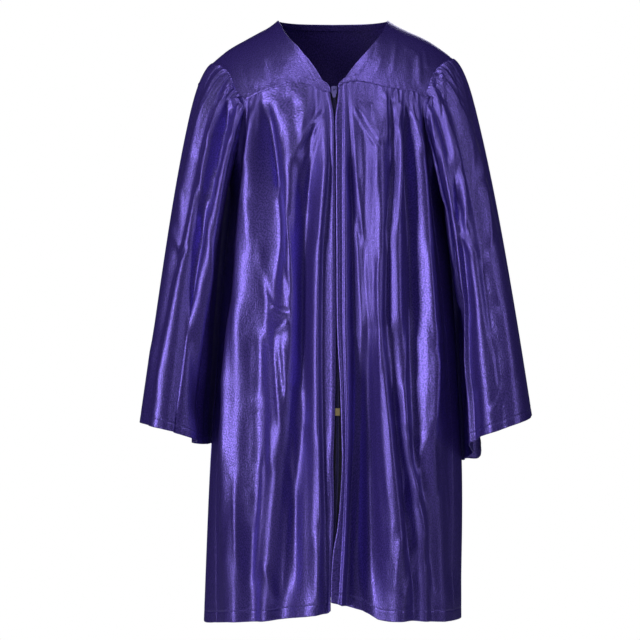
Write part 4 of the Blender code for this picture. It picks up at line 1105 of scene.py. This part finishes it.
def cloth(name, grid, outward, look, closed=False):
    """A sheet of cloth of one layer through the grid, with its thread directions as its UV."""
    rows, columns = grid.shape[:2]
    middle = grid[int(rows * WIDTH_ROW)]
    if closed:
        grid = np.concatenate([grid, grid[:, :1]], axis=1)
        middle = np.concatenate([middle, middle[:1]])
    across, down = travelled(middle), travelled(grid)
    index = np.arange(rows * columns).reshape(rows, columns)
    near = index if not closed else np.concatenate([index, index[:, :1]], axis=1)
    place = np.arange(grid.shape[0] * grid.shape[1]).reshape(grid.shape[:2])
    faces, corners = squares(near), squares(place)
    points = grid[:, :columns].reshape(-1, 3)
    a, b, c = (points[faces[:, k]] for k in (0, 1, 2))
    facing = (np.cross(b - a, c - a) * outward.reshape(-1, 3)[faces[:, 0]]).sum()
    if facing < 0:
        faces, corners = faces[:, ::-1], corners[:, ::-1]
    mesh = bpy.data.meshes.new(name)
    mesh.from_pydata((points * METRES_PER_MM).tolist(), [], faces.tolist())
    uv = mesh.uv_layers.new(name="threads")
    threads = np.stack([np.broadcast_to(across, down.shape), down], axis=-1).reshape(-1, 2)
    uv.data.foreach_set("uv", (threads[corners.reshape(-1)] * METRES_PER_MM).ravel())
    mesh.polygons.foreach_set("use_smooth", [True] * len(mesh.polygons))
    mesh.materials.append(look)
    mesh.update()
    piece = bpy.data.objects.new(name, mesh)
    bpy.context.scene.collection.objects.link(piece)
    return piece


def uneven(seed, places, wavelength, spread=UNEVENNESS):
    """A wave that never quite repeats, from -1 to 1, for gathers and puckers."""
    chance = np.random.default_rng(seed)
    total = np.zeros(np.shape(places))
    for _ in range(UNEVEN_WAVES):
        length = wavelength * (1 + spread * chance.uniform(-1, 1))
        strength = chance.uniform(UNEVEN_LEAST, 1)
        total += strength * np.sin(2 * math.pi * (places / length + chance.uniform()))
    return total / UNEVEN_SUM


def fading(waves, places, distance, side=0, spread=UNEVENNESS):
    """Gathers, puckers or ripples that are strongest at a seam or hem and fade away from it."""
    seed, wavelength, height, reach = waves
    return uneven(seed + side, places, wavelength, spread) * height * np.exp(-distance / reach)


def stitched_groove(rise, allowance):
    """The line that the stitching presses into a hem."""
    depth_there, half = GROOVE
    return depth_there * np.exp(-(((rise - allowance) / half) ** 2))


def seam_lift(above):
    """The thicker cloth above a yoke seam, where the allowances lie behind it."""
    height, reach = YOKE_EDGE_LIFT
    return height * np.exp(-above / reach)


def creased(x, z, creases):
    """Sum of the creases at points (x, z), each a soft trough or ridge along a bent line."""
    total = np.zeros(np.broadcast(x, z).shape)
    for x0, z0, x1, z1, bend, width, height in creases:
        run = np.array([x1 - x0, z1 - z0], float)
        length = np.linalg.norm(run)
        along = ((x - x0) * run[0] + (z - z0) * run[1]) / length**2
        beside = ((x - x0) * run[1] - (z - z0) * run[0]) / length
        held = np.clip(along, 0, 1)
        beside = beside + bend * 4 * held * (1 - held)
        past = (along - held) * length
        ends = np.clip(along / CREASE_END, 0, 1) * np.clip((1 - along) / CREASE_END, 0, 1)
        ends = np.sin(ends * math.pi / 2) ** CREASE_END_POWER
        total += height * ends * np.exp(-((beside / width) ** 2)) * np.exp(-((past / width) ** 2))
    return total


def hem_rows(count, length, power=ROW_CROWDING):
    """Row places from 0 to 1, closer together by the gathers and by the hem's stitching."""
    close = 1 - HEM_ROWS / length
    return np.unique(np.concatenate([np.linspace(0, 1, count) ** power, close]))


def moved_out(base, direction, relief):
    """The points moved out by their relief, and the directions out of the new surface."""
    outer = base + direction * relief[..., None]
    return outer, turned_to(grid_normals(outer), direction)


def trunk_cloth(columns, rows, top_of, place, hem, side=1, back=False):
    """The points of a front or the back before its creases, the directions out from them, the
    relief of the folds, and how far each point lies below the top and above the hem. The
    functions top_of and place give a column's top and its angle and relief."""
    shape = (len(rows), len(columns))
    angles, heights, reliefs = np.zeros(shape), np.zeros(shape), np.zeros(shape)
    for j, column in enumerate(columns):
        top = top_of(*column)
        angle, _relief = place(*column, HEM_SIDE)
        hem_x = side * torso(angle, HEM_SIDE, back)[..., 0]
        bottom = float(np.interp(hem_x, hem[:, 0], hem[:, 1]))
        heights[:, j] = top + (bottom - top) * rows
        angles[:, j], reliefs[:, j] = place(*column, heights[:, j])
        reliefs[:, j] *= np.sin(np.clip((top - heights[:, j]) / FADE_IN, 0, 1) * math.pi / 2)
    angles = np.clip(angles, -SIDE_SEAM_ANGLE, SIDE_SEAM_ANGLE)
    drop, rise = heights[:1] - heights, heights - heights[-1:]
    return torso(angles, heights, back), torso_normal(angles, heights, back), reliefs, drop, rise


def front_cloth(side):
    """The points of a front, with its gathers, creases and hem."""
    last = len(FRONT_FOLDS[side]) - 1
    columns = [(side, "edge", share) for share in np.linspace(0, 1, ZIP_EDGE_POINTS)[:-1]]
    for index in range(last):
        shares = np.arange(POINTS_A_FOLD) / POINTS_A_FOLD
        columns += [(side, "fold", index + share) for share in shares]
    columns.append((side, "fold", float(last)))
    columns += [(side, "armhole", share) for share in np.linspace(0, 1, SIDE_SEAM_POINTS)[1:]]
    rows = hem_rows(FRONT_POINTS_DOWN, FRONT_LENGTH)
    base, direction, reliefs, drop, rise = trunk_cloth(
        columns, rows, front_top, front_place, FRONT_HEM[side], side
    )
    x, z = base[..., 0], base[..., 2]
    distance = side * x
    gathers = fading(FRONT_GATHERS, distance, drop, side) * np.clip(drop / GATHER_START, 0, 1)
    ripple = fading(FRONT_RIPPLE, distance, rise, side)
    groove = stitched_groove(rise, HEM_ALLOWANCE)
    edge_fade = np.clip(np.arange(len(columns)) / ZIP_EDGE_CALM, 0, 1)
    high, inward, half = ZIP_EDGE_ROLL
    roll = high * np.exp(-(((np.abs(x - front_edge(side, z)) - inward) / half) ** 2))
    reliefs += (gathers + creased(x, z, CREASES[side])) * edge_fade + ripple + groove + roll
    return moved_out(base, direction, reliefs)


def back_cloth():
    """The points of the back, with its gathers, creases and hem."""
    count = len(BACK_FOLDS)
    side_share = np.linspace(0, 1, SIDE_SEAM_POINTS)
    columns = list(side_share[:-1])
    shares = np.arange(POINTS_A_FOLD) / POINTS_A_FOLD
    for index in range(1, count):
        columns += list(index + shares)
    columns.append(float(count))
    columns = [(column,) for column in columns + list(count + side_share[1:])]
    rows = hem_rows(BACK_POINTS_DOWN, BACK_LENGTH)
    base, direction, reliefs, drop, rise = trunk_cloth(
        columns, rows, back_top, back_place, BACK_HEM, back=True
    )
    x, z = base[..., 0], base[..., 2]
    gathers = fading(BACK_GATHERS, x, drop) * np.clip(drop / GATHER_START, 0, 1)
    ripple = fading(BACK_RIPPLE, x, rise)
    groove = stitched_groove(rise, HEM_ALLOWANCE)
    reliefs += gathers + creased(x, z, BACK_CREASES) + ripple + groove
    return moved_out(base, direction, reliefs)


def yoke_points(angles, heights, x, back):
    """A yoke's points and their outward directions, which turn straight up by the shoulder seam."""
    outer = torso(angles, heights, back)
    outer[..., 0] = x
    facing = outer * YOKE_FACING - np.array([0.0, 0.0, HEART])
    normals = grid_normals(outer)
    along = np.gradient(outer, axis=1)
    upward = np.stack([-along[..., 2], np.zeros(along.shape[:2]), along[..., 0]], -1)
    shoulder = np.abs(outer[..., 1]) <= SHOULDER_BAND
    normals[shoulder] = upward[shoulder]
    normals = unit(turned_to(normals, facing))
    normals[-1] = torso_normal(angles[-1], heights[-1], back)
    return outer, normals


def front_yoke_cloth(side):
    """The points of a front yoke, a patch between shoulder, V, armhole and seam."""
    across = np.linspace(0, 1, YOKE_POINTS_ACROSS)
    down = np.linspace(0, 1, YOKE_POINTS_DOWN) ** YOKE_ROW_CROWDING
    tip = ARMHOLE[0, 0 if side < 0 else 2]
    top_x = NECK_POINT + (tip - NECK_POINT) * across
    top = np.stack([top_x, shoulder_height(top_x, side)], -1)
    bottom = line(YOKE_SEAM[side], across)
    bottom[:, 1] = seam_height(side, bottom[:, 0])
    inner = line(NECK_EDGE[side], down)
    inner[-1] = bottom[0]
    angle, z = armhole(down * ARMHOLE_CORNER, side)
    outer = np.stack([np.abs(torso(angle, z)[..., 0]), z], -1)
    outer[-1] = bottom[-1]
    outer[0] = top[-1]
    u, v = across[None, :, None], down[:, None, None]
    patch = (
        (1 - v) * top[None]
        + v * bottom[None]
        + (1 - u) * inner[:, None]
        + u * outer[:, None]
        - (1 - u) * (1 - v) * top[0]
        - u * (1 - v) * top[-1]
        - (1 - u) * v * bottom[0]
        - u * v * bottom[-1]
    )
    angles = angle_at(side * patch[..., 0], patch[..., 1])
    x = patch[..., 0] * side
    grid, normals = yoke_points(angles, patch[..., 1], x, False)
    above = patch[..., 1] - patch[-1:, :, 1]
    puckers = fading(FRONT_YOKE_PUCKERS, np.abs(x) + PUCKER_LEAN * above, above, side)
    relief = creased(x, patch[..., 1], YOKE_CREASES[side]) + puckers + seam_lift(above)
    relief *= np.clip(v[..., 0] / YOKE_CALM, 0, 1)
    return grid + normals * relief[..., None], normals


def back_yoke_cloth():
    """The points of the back yoke, from armhole to armhole."""
    neck_share = BACK_NECK_SHARE
    across = np.linspace(-1, 1, 2 * YOKE_POINTS_ACROSS + 1)
    down = np.linspace(0, 1, YOKE_POINTS_DOWN) ** YOKE_ROW_CROWDING
    angles = np.zeros((len(down), len(across)))
    heights = np.zeros_like(angles)
    distances = np.zeros_like(angles)
    for j, u in enumerate(across):
        side = -1 if u < 0 else 1
        tip = ARMHOLE[0, 0 if side < 0 else 2]
        corner = BACK_CORNER[side]
        if abs(u) <= neck_share:
            top_x = NECK_POINT * abs(u) / neck_share
            top_z = BACK_NECK_RISE * (1 - (abs(u) / neck_share) ** 2)
        else:
            top_x = NECK_POINT + (tip - NECK_POINT) * (abs(u) - neck_share) / (1 - neck_share)
            top_z = float(shoulder_height(top_x, side))
        share = abs(u) ** BACK_YOKE_BEND
        edge_angle, edge_z = armhole(down * ARMHOLE_CORNER, side, True)
        edge_x = np.abs(torso(edge_angle, edge_z, True)[..., 0])
        edge_x[0] = tip
        curve_z = (edge_z - edge_z[0]) / (edge_z[-1] - edge_z[0])
        curve_x = (edge_x - edge_x[0]) / (edge_x[-1] - edge_x[0])
        fall = down * (1 - share) + curve_z * share
        inward = down * (1 - share) + curve_x * share
        heights[:, j] = top_z + (BACK_SEAM - top_z) * fall
        distances[:, j] = top_x + (corner * abs(u) - top_x) * inward
        angles[:, j] = angle_at(side * distances[:, j], heights[:, j])
        distances[:, j] *= side
    grid, normals = yoke_points(angles, heights, distances, True)
    above = heights - heights[-1:]
    puckers = fading(BACK_YOKE_PUCKERS, distances, above)
    relief = puckers + creased(distances, heights, BACK_YOKE_CREASES) + seam_lift(above)
    relief *= np.clip(down[:, None] / YOKE_CALM, 0, 1)
    return grid + normals * relief[..., None], normals


def sleeve_cloth(side):
    """The points of a sleeve, from its gathered cap to the cuff's hem, all round."""
    folds = SLEEVE_FOLDS[side]
    count = len(folds)
    stations = hem_rows(SLEEVE_POINTS_DOWN, SLEEVE_LENGTH, SLEEVE_ROW_CROWDING)
    phis = np.zeros((len(stations), count * SLEEVE_POINTS_A_FOLD))
    reliefs = np.zeros_like(phis)
    for j in range(phis.shape[1]):
        index, share = divmod(j, SLEEVE_POINTS_A_FOLD)
        share /= SLEEVE_POINTS_A_FOLD
        near, far = folds[index], folds[(index + 1) % count]
        turn = 360.0 if index == count - 1 else 0.0
        start = smooth(SLEEVE_FOLD_STATIONS, near[0], stations)
        end = smooth(SLEEVE_FOLD_STATIONS, far[0], stations) + turn
        phis[:, j] = start + (end - start) * share
        reliefs[:, j] = wave(
            smooth(SLEEVE_FOLD_STATIONS, near[1], stations),
            smooth(SLEEVE_FOLD_STATIONS, far[1], stations),
            share,
        )
    phis %= 360.0
    flatter = np.clip(np.sin(np.radians(phis)), 0, 1)
    flatter = flatter * np.clip(stations / FLATTER_GROWTH, 0, 1)[:, None]
    reliefs *= 1 - FLATTER_CUFF[side] * flatter
    base = np.zeros((*phis.shape, 3))
    start = sleeve_start(side, phis[0])
    leave = from_table(SLEEVE_LEAVING, phis[0]) * [side, -1, 1]
    for i, share in enumerate(stations):
        reach = from_table(SLEEVE_REACHING, phis[i]) * [side, -1, 1]
        base[i] = between(start, leave, cuff_point(side, phis[i]), reach, share)
    normals = grid_normals(base, closed=True)
    centre = base.mean(axis=1, keepdims=True)
    outwards = (normals * (base - centre)).sum(-1, keepdims=True)
    normals *= np.sign(outwards.mean(axis=1, keepdims=True))
    fall = travelled(base)
    cap_angle, cap_fade = CAP_TOP
    upper = np.clip((cap_angle - np.minimum(phis, 360 - phis)) / cap_fade, 0, 1)
    gathers = fading(SLEEVE_GATHERS, phis, fall, side, SLEEVE_UNEVENNESS)
    gathers *= np.clip(fall / GATHER_START, 0, 1)
    rise = fall[-1:] - fall
    ripple = fading(SLEEVE_RIPPLE, travelled(base[-1])[None], rise, side)
    groove = stitched_groove(rise, SLEEVE_HEM)
    x, z = base[..., 0], base[..., 2]
    both = [creased(x, z, creases[side]) for creases in (SLEEVE_CREASES, SLEEVE_BACK_CREASES)]
    creases = np.where((phis >= 0) & (phis <= 180), *both)
    creases *= np.clip(np.abs(np.sin(np.radians(phis))) / SLEEVE_EDGE_CALM, 0, 1)
    gathers *= CAP_SPARSE + (1 - CAP_SPARSE) * upper
    reliefs += gathers + ripple + groove + creases
    tuck, tuck_reach = CAP_TUCK
    reliefs -= tuck * np.exp(-fall / tuck_reach)
    outer = base + normals * reliefs[..., None]
    reach = np.abs(outer[..., 0])
    mean_reach = reach.mean(axis=1, keepdims=True)
    inner = np.clip((mean_reach - reach) / (mean_reach - reach.min(axis=1, keepdims=True)), 0, 1)
    low = np.clip((HANG_START - outer[..., 2]) / HANG_GROWTH, 0, 1)
    outer[..., 0] -= side * INNER_HANG[side] * inner * low
    clearance = SLEEVE_CLEARANCE * np.clip(CAP_CLEARANCE + stations, 0, 1)[:, None]
    outer[1:] = keep_clear(side, outer, clearance)[1:]
    return outer, turned_to(grid_normals(outer, closed=True), normals)


def satin_cloth(name, face, shade, roughness):
    """Polyester satin, woven with long floating threads. They give a strong soft shine, tinted
    by the dye because the light passes through the coloured threads, and almost none in the
    folds, so the cloth is set partly metallic. The coat is the clearer shine of the threads'
    own surfaces, and the grain is where threads lie in other directions."""
    look, tree = new_material(name)
    place = add(tree, "ShaderNodeUVMap", uv_map="threads").outputs["UV"]
    below = {}
    for scale, slant, detail, rough, height in (CRUMPLES, SLUBS, GRAIN):
        inputs = {"Vector": place, "Scale": scale, "Rotation": (0, 0, slant)}
        turned = add(tree, "ShaderNodeMapping", inputs)
        inputs = {"Vector": turned.outputs[0], "Scale": 1.0, "Detail": detail, "Roughness": rough}
        noise = add(tree, "ShaderNodeTexNoise", inputs).outputs["Fac"]
        inputs = {"Height": noise, "Strength": 1.0, "Distance": height, **below}
        bump = add(tree, "ShaderNodeBump", inputs)
        below = {"Normal": bump.outputs[0]}
    inputs = {"Value": noise, "From Min": 0.40, "From Max": 0.60}
    grain = add(tree, "ShaderNodeMapRange", inputs)
    tint = add(
        tree,
        "ShaderNodeMix",
        {0: grain.outputs[0], 6: colour(shade), 7: colour(face)},
        data_type="RGBA",
    )
    shader = add(
        tree,
        "ShaderNodeBsdfPrincipled",
        {
            "Base Color": tint.outputs[2],
            "Metallic": 0.68,
            "Specular IOR Level": 0.8,
            "Roughness": roughness,
            "IOR": 1.55,
            "Anisotropic": 0.45,
            "Coat Weight": 0.45,
            "Coat Roughness": 0.45,
            "Coat IOR": 1.75,
            "Coat Normal": bump.outputs[0],
            "Normal": bump.outputs[0],
        },
    )
    tangent = add(tree, "ShaderNodeTangent", direction_type="UV_MAP", uv_map="threads")
    tree.links.new(tangent.outputs[0], shader.inputs["Tangent"])
    add(tree, "ShaderNodeOutputMaterial", {"Surface": shader.outputs[0]})
    return look


def mottled(name, first, second, metallic, roughness, fineness, bump_depth, coat=0.0):
    """A finish whose colour, roughness and height all vary a little with one fine noise."""
    look, tree = new_material(name)
    place = add(tree, "ShaderNodeTexCoord").outputs["Object"]
    noise = add(tree, "ShaderNodeTexNoise", {"Vector": place, "Scale": fineness, "Detail": 3.0})
    grain = noise.outputs["Fac"]
    tint = add(
        tree,
        "ShaderNodeMix",
        {0: grain, 6: colour(first), 7: colour(second)},
        data_type="RGBA",
    )
    rough = add(
        tree,
        "ShaderNodeMapRange",
        {"Value": grain, "To Min": roughness[0], "To Max": roughness[1]},
    )
    bump = add(tree, "ShaderNodeBump", {"Height": grain, "Strength": 1.0, "Distance": bump_depth})
    inputs = {
        "Base Color": tint.outputs[2],
        "Metallic": metallic,
        "Roughness": rough.outputs[0],
        "Normal": bump.outputs[0],
        "Coat Weight": coat,
        "Coat Roughness": 0.15,
    }
    shader = add(tree, "ShaderNodeBsdfPrincipled", inputs)
    add(tree, "ShaderNodeOutputMaterial", {"Surface": shader.outputs[0]})
    return look


def woven_tape(name, warp, weft):
    """Herringbone polyester tape, matt beside the satin: its ribs slant one way, then the other."""
    look, tree = new_material(name)
    place = add(tree, "ShaderNodeUVMap", uv_map="threads").outputs["UV"]
    parts = add(tree, "ShaderNodeSeparateXYZ", {0: place})
    fold = add(tree, "ShaderNodeMath", {0: parts.outputs[0], 1: TAPE_RIB}, operation="PINGPONG")
    slant = add(tree, "ShaderNodeCombineXYZ", {0: fold.outputs[0], 1: parts.outputs[1]})
    ribs = add(
        tree,
        "ShaderNodeTexWave",
        {
            "Vector": slant.outputs[0],
            "Scale": TAPE_RIBS_A_METRE / WAVES_A_SCALE,
            "Distortion": 0.4,
        },
        bands_direction="DIAGONAL",
    )
    tint = add(
        tree,
        "ShaderNodeMix",
        {0: ribs.outputs["Fac"], 6: colour(weft), 7: colour(warp)},
        data_type="RGBA",
    )
    bump = add(
        tree,
        "ShaderNodeBump",
        {"Height": ribs.outputs["Fac"], "Strength": 1.0, "Distance": 0.0002},
    )
    inputs = {"Base Color": tint.outputs[2], "Roughness": 0.75, "Normal": bump.outputs[0]}
    shader = add(tree, "ShaderNodeBsdfPrincipled", inputs)
    add(tree, "ShaderNodeOutputMaterial", {"Surface": shader.outputs[0]})
    return look


def new_piece(name, points, faces, look):
    """A smooth piece from points in millimetres."""
    mesh = bpy.data.meshes.new(name)
    mesh.from_pydata((np.asarray(points) * METRES_PER_MM).tolist(), [], faces)
    mesh.polygons.foreach_set("use_smooth", [True] * len(mesh.polygons))
    mesh.materials.append(look)
    piece = bpy.data.objects.new(name, mesh)
    bpy.context.scene.collection.objects.link(piece)
    return piece


def tape_grid(side):
    """The points of one zip tape behind a front edge."""
    heights = np.linspace(ZIP_TOP, ZIP_END, ZIP_POINTS_DOWN)
    centres = read(CHAIN_CENTRE, heights)
    outs = np.linspace(TAPE_MIDDLE_GAP, TAPE_HALF_WIDTH, TAPE_POINTS_ACROSS)
    grid = np.zeros((len(heights), len(outs), 3))
    for i, height in enumerate(heights):
        for j, out in enumerate(outs):
            grid[i, j] = behind_fronts(centres[i] + side * out, height, TAPE_DEPTH[0])
    away = grid_normals(grid)
    return grid, away * -np.sign(away[..., 1:2])


def coil_chain(name, look):
    """The two nylon coils, each a flattened spring, whose heads reach past the middle by turns."""
    marks = np.linspace(ZIP_TOP, ZIP_END, ZIP_POINTS_DOWN)
    middle, front = (
        np.array([behind_fronts(x, z, inward) for x, z in zip(read(CHAIN_CENTRE, marks), marks)])
        for inward in (sum(CHAIN_DEPTH) / 2, CHAIN_DEPTH[0])
    )
    away = unit(front - middle)
    turns = (ZIP_TOP - ZIP_END) / COIL_PITCH
    swing = np.arange(0, turns * COIL_POINTS) / COIL_POINTS * 2 * math.pi
    points, faces = [], []
    for side in (-1, 1):
        turned = swing / (2 * math.pi) + side * COIL_STAGGER + COIL_START
        height = np.clip(ZIP_TOP - COIL_PITCH * turned, ZIP_END, ZIP_TOP)
        at, out = (on_line(known, -marks, -height) for known in (middle, away))
        across = side * (CHAIN_HALF_WIDTH - COIL_REACH + COIL_REACH * np.cos(swing))
        rise = COIL_RISE * np.sin(swing)
        path = at + np.array([1.0, 0, 0]) * across[:, None] + out * rise[:, None]
        run = unit(np.gradient(path, axis=0))
        beside = unit(np.cross(run, [0, 0, 1.0]))
        up = np.cross(run, beside)
        first = sum(len(p) for p in points)
        for k in range(COIL_SIDES):
            turn = 2 * math.pi * k / COIL_SIDES
            points.append(path + COIL_WIRE * (beside * math.cos(turn) + up * math.sin(turn)))
        count = len(path)
        for k in range(COIL_SIDES):
            a, b = first + k * count, first + (k + 1) % COIL_SIDES * count
            faces += [(a + n, a + n + 1, b + n + 1, b + n) for n in range(count - 1)]
        faces.append(tuple(first + k * count for k in range(COIL_SIDES)))
        faces.append(tuple(first + k * count + count - 1 for k in reversed(range(COIL_SIDES))))
    return new_piece(name, np.concatenate(points), faces, look)


def stitches(name, line_points, outward, look):
    """A row of sewn stitches along a line of points, each a short raised thread."""
    along = travelled(line_points)
    starts = np.arange(STITCH_START, along[-1] - STITCH_LENGTH, STITCH_LENGTH + STITCH_GAP)
    points, faces = [], []
    for start in starts:
        end = on_line(line_points, along, start + STITCH_LENGTH)
        run = end - on_line(line_points, along, start)
        run /= np.linalg.norm(run)
        rings = []
        for share, size in STITCH_RINGS:
            middle = on_line(line_points, along, start + share * STITCH_LENGTH)
            away = on_line(outward, along, start + share * STITCH_LENGTH)
            away = away - run * away.dot(run)
            away /= np.linalg.norm(away)
            beside = np.cross(run, away)
            ring = []
            for turn in range(STITCH_SIDES):
                swing = turn * 2 * math.pi / STITCH_SIDES
                reach = beside * math.cos(swing) + away * (STITCH_LIFT + math.sin(swing))
                ring.append(len(points))
                points.append(middle + size * STITCH_THICKNESS * reach)
            rings.append(ring)
        for near, far in zip(rings, rings[1:]):
            for k in range(STITCH_SIDES):
                after = (k + 1) % STITCH_SIDES
                faces.append((near[k], near[after], far[after], far[k]))
        faces.append(tuple(reversed(rings[0])))
        faces.append(tuple(rings[-1]))
    return new_piece(name, np.array(points), faces, look)


def sewn(name, grid, outward, closed=False, **allowances):
    """Makes a satin piece with its edges turned in, and the stitches of its hem if it has one."""
    full, facing = turned_edges(grid, outward, **allowances)
    made[name] = cloth(f"{name}_cloth", full, facing, satin, closed)
    if name.startswith("yoke"):
        return
    row, away = points_along(grid, allowances["bottom"]), outward[-1]
    if closed:
        row, away = np.concatenate([row, row[:1]]), np.concatenate([away, away[:1]])
    made[f"{name}_hem_stitches"] = stitches(f"{name}_hem_stitches", row, away, thread)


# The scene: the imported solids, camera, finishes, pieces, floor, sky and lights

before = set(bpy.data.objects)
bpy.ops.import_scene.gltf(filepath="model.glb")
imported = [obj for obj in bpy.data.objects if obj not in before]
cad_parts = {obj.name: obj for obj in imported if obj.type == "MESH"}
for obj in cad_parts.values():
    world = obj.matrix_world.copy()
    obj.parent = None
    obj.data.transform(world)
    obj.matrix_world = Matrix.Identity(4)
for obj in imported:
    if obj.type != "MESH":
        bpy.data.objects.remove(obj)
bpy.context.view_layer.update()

camera_data = bpy.data.cameras.new("camera")
camera_data.sensor_width = SENSOR_WIDTH
camera_data.lens = SENSOR_WIDTH * CAMERA_DISTANCE / VIEW_WIDTH
camera = bpy.data.objects.new("camera", camera_data)
camera.location = (CAMERA_ACROSS, -CAMERA_DISTANCE, CAMERA_HEIGHT)
camera.rotation_euler = (math.pi / 2, 0, 0)
bpy.context.scene.collection.objects.link(camera)
bpy.context.scene.camera = camera

# Violet polyester satin, bright on the ridges and deep blue-violet in the troughs
satin = satin_cloth("polyester_satin", "#664dbe", "#3a298c", 0.34)
# Spun polyester thread, duller than the satin it sinks into
thread = mottled("polyester_thread", "#4a3c90", "#30266a", 0.0, (0.4, 0.6), 2500.0, 0.00005)
# Woven polyester tape, its two colours darkened to near black as painted shade for the shadow
# behind the fronts
shade_darkened_tape = woven_tape("woven_polyester_tape", "#151130", "#0b081c")
# Nylon wire, drawn and coiled, with a low even gloss; its colours are partly its own dark purple
# and partly painted shade, darkened for the shadowed slit between the fronts
nylon = mottled("nylon_coil_plastic", "#3d3570", "#2a2455", 0.0, (0.3, 0.45), 900.0, 0.00002)
# Die-cast zinc under glossy enamel in the cloth's colour
enamel = mottled(
    "enamelled_zinc", "#766db4", "#5f559f", 0.2, (0.25, 0.4), 500.0, 0.00003, coat=0.5
)
# Drawn brass wire, pale and a little worn
brass = mottled("drawn_brass_wire", "#ead9a4", "#c2a868", 0.75, (0.25, 0.45), 1200.0, 0.00003)

# Pieces, each under the name of the node that it replaces
made = {}
SIDES = ((-1, "right"), (1, "left"))
for side, word in SIDES:
    sewn(f"front_{word}", *front_cloth(side), bottom=HEM_ALLOWANCE, start=ZIP_ALLOWANCE)
    sewn(f"yoke_front_{word}", *front_yoke_cloth(side), bottom=YOKE_ALLOWANCE, start=NECK_ALLOWANCE)
    sewn(f"sleeve_{word}", *sleeve_cloth(side), closed=True, bottom=SLEEVE_HEM)
sewn("back", *back_cloth(), bottom=HEM_ALLOWANCE, start=SIDE_ALLOWANCE, end=SIDE_ALLOWANCE)
sewn("yoke_back", *back_yoke_cloth(), bottom=YOKE_ALLOWANCE, top=NECK_ALLOWANCE)
# The zip's tapes and coils have colours darkened with painted shade
for side, word in SIDES:
    made[f"zip_tape_{word}"] = cloth(f"zip_tape_{word}_cloth", *tape_grid(side), shade_darkened_tape)
made["zip_chain"] = coil_chain("zip_coils", nylon)

for name, piece in made.items():
    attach(piece, "gown")
    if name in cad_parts:
        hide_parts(name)
for node, look in (("zip_slider", enamel), ("zip_pull_tab", enamel), ("zip_bottom_stop", brass)):
    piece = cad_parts[node]
    piece.data.materials.clear()
    piece.data.materials.append(look)
    rounding = piece.modifiers.new("rounded_edges", "BEVEL")
    rounding.width = EDGE_ROUNDING * METRES_PER_MM
    rounding.segments = 2

for name, flat, area in SHEETS:
    sewn = [made[f"{name}_hem_stitches"]] if f"{name}_hem_stitches" in made else []

corners = ((-1, -1), (1, -1), (1, 1), (-1, 1))
corners = [(x * FLOOR_HALF, y * FLOOR_HALF, FLOOR) for x, y in corners]
floor_mesh = bpy.data.meshes.new("floor")
floor_mesh.from_pydata(corners, [], [(0, 1, 2, 3)])
floor = bpy.data.objects.new("floor", floor_mesh)
# Pale matt painted board, a little uneven in tone
floor_mesh.materials.append(
    mottled("pale_floor", "#e6e6e8", "#dededf", 0.0, (0.6, 0.8), 3.0, 0.0)
)
bpy.context.scene.collection.objects.link(floor)

world = bpy.data.worlds.new("studio")
bpy.context.scene.world = world
world.use_nodes = True
tree = world.node_tree
tree.nodes.clear()
seen = add(tree, "ShaderNodeLightPath").outputs["Is Camera Ray"]
tone = add(
    tree,
    "ShaderNodeMix",
    {0: seen, 6: colour(SKY_TINT), 7: (1, 1, 1, 1)},
    data_type="RGBA",
)
strength = add(
    tree,
    "ShaderNodeMix",
    {0: seen, 2: SKY_STRENGTH, 3: BACKDROP_STRENGTH},
    data_type="FLOAT",
)
sky = add(
    tree,
    "ShaderNodeBackground",
    {"Color": tone.outputs[2], "Strength": strength.outputs[0]},
)
add(tree, "ShaderNodeOutputWorld", {"Surface": sky.outputs[0]})

for name, place, aim, size, watts in LIGHTS:
    lamp = bpy.data.lights.new(name, "AREA")
    lamp.shape = "RECTANGLE"
    lamp.size, lamp.size_y = size
    lamp.energy = watts
    holder = bpy.data.objects.new(name, lamp)
    holder.location = place
    holder.rotation_euler = (Vector(aim) - Vector(place)).to_track_quat("-Z", "Y").to_euler()
    bpy.context.scene.collection.objects.link(holder)

bpy.context.scene.view_settings.view_transform = "Standard"
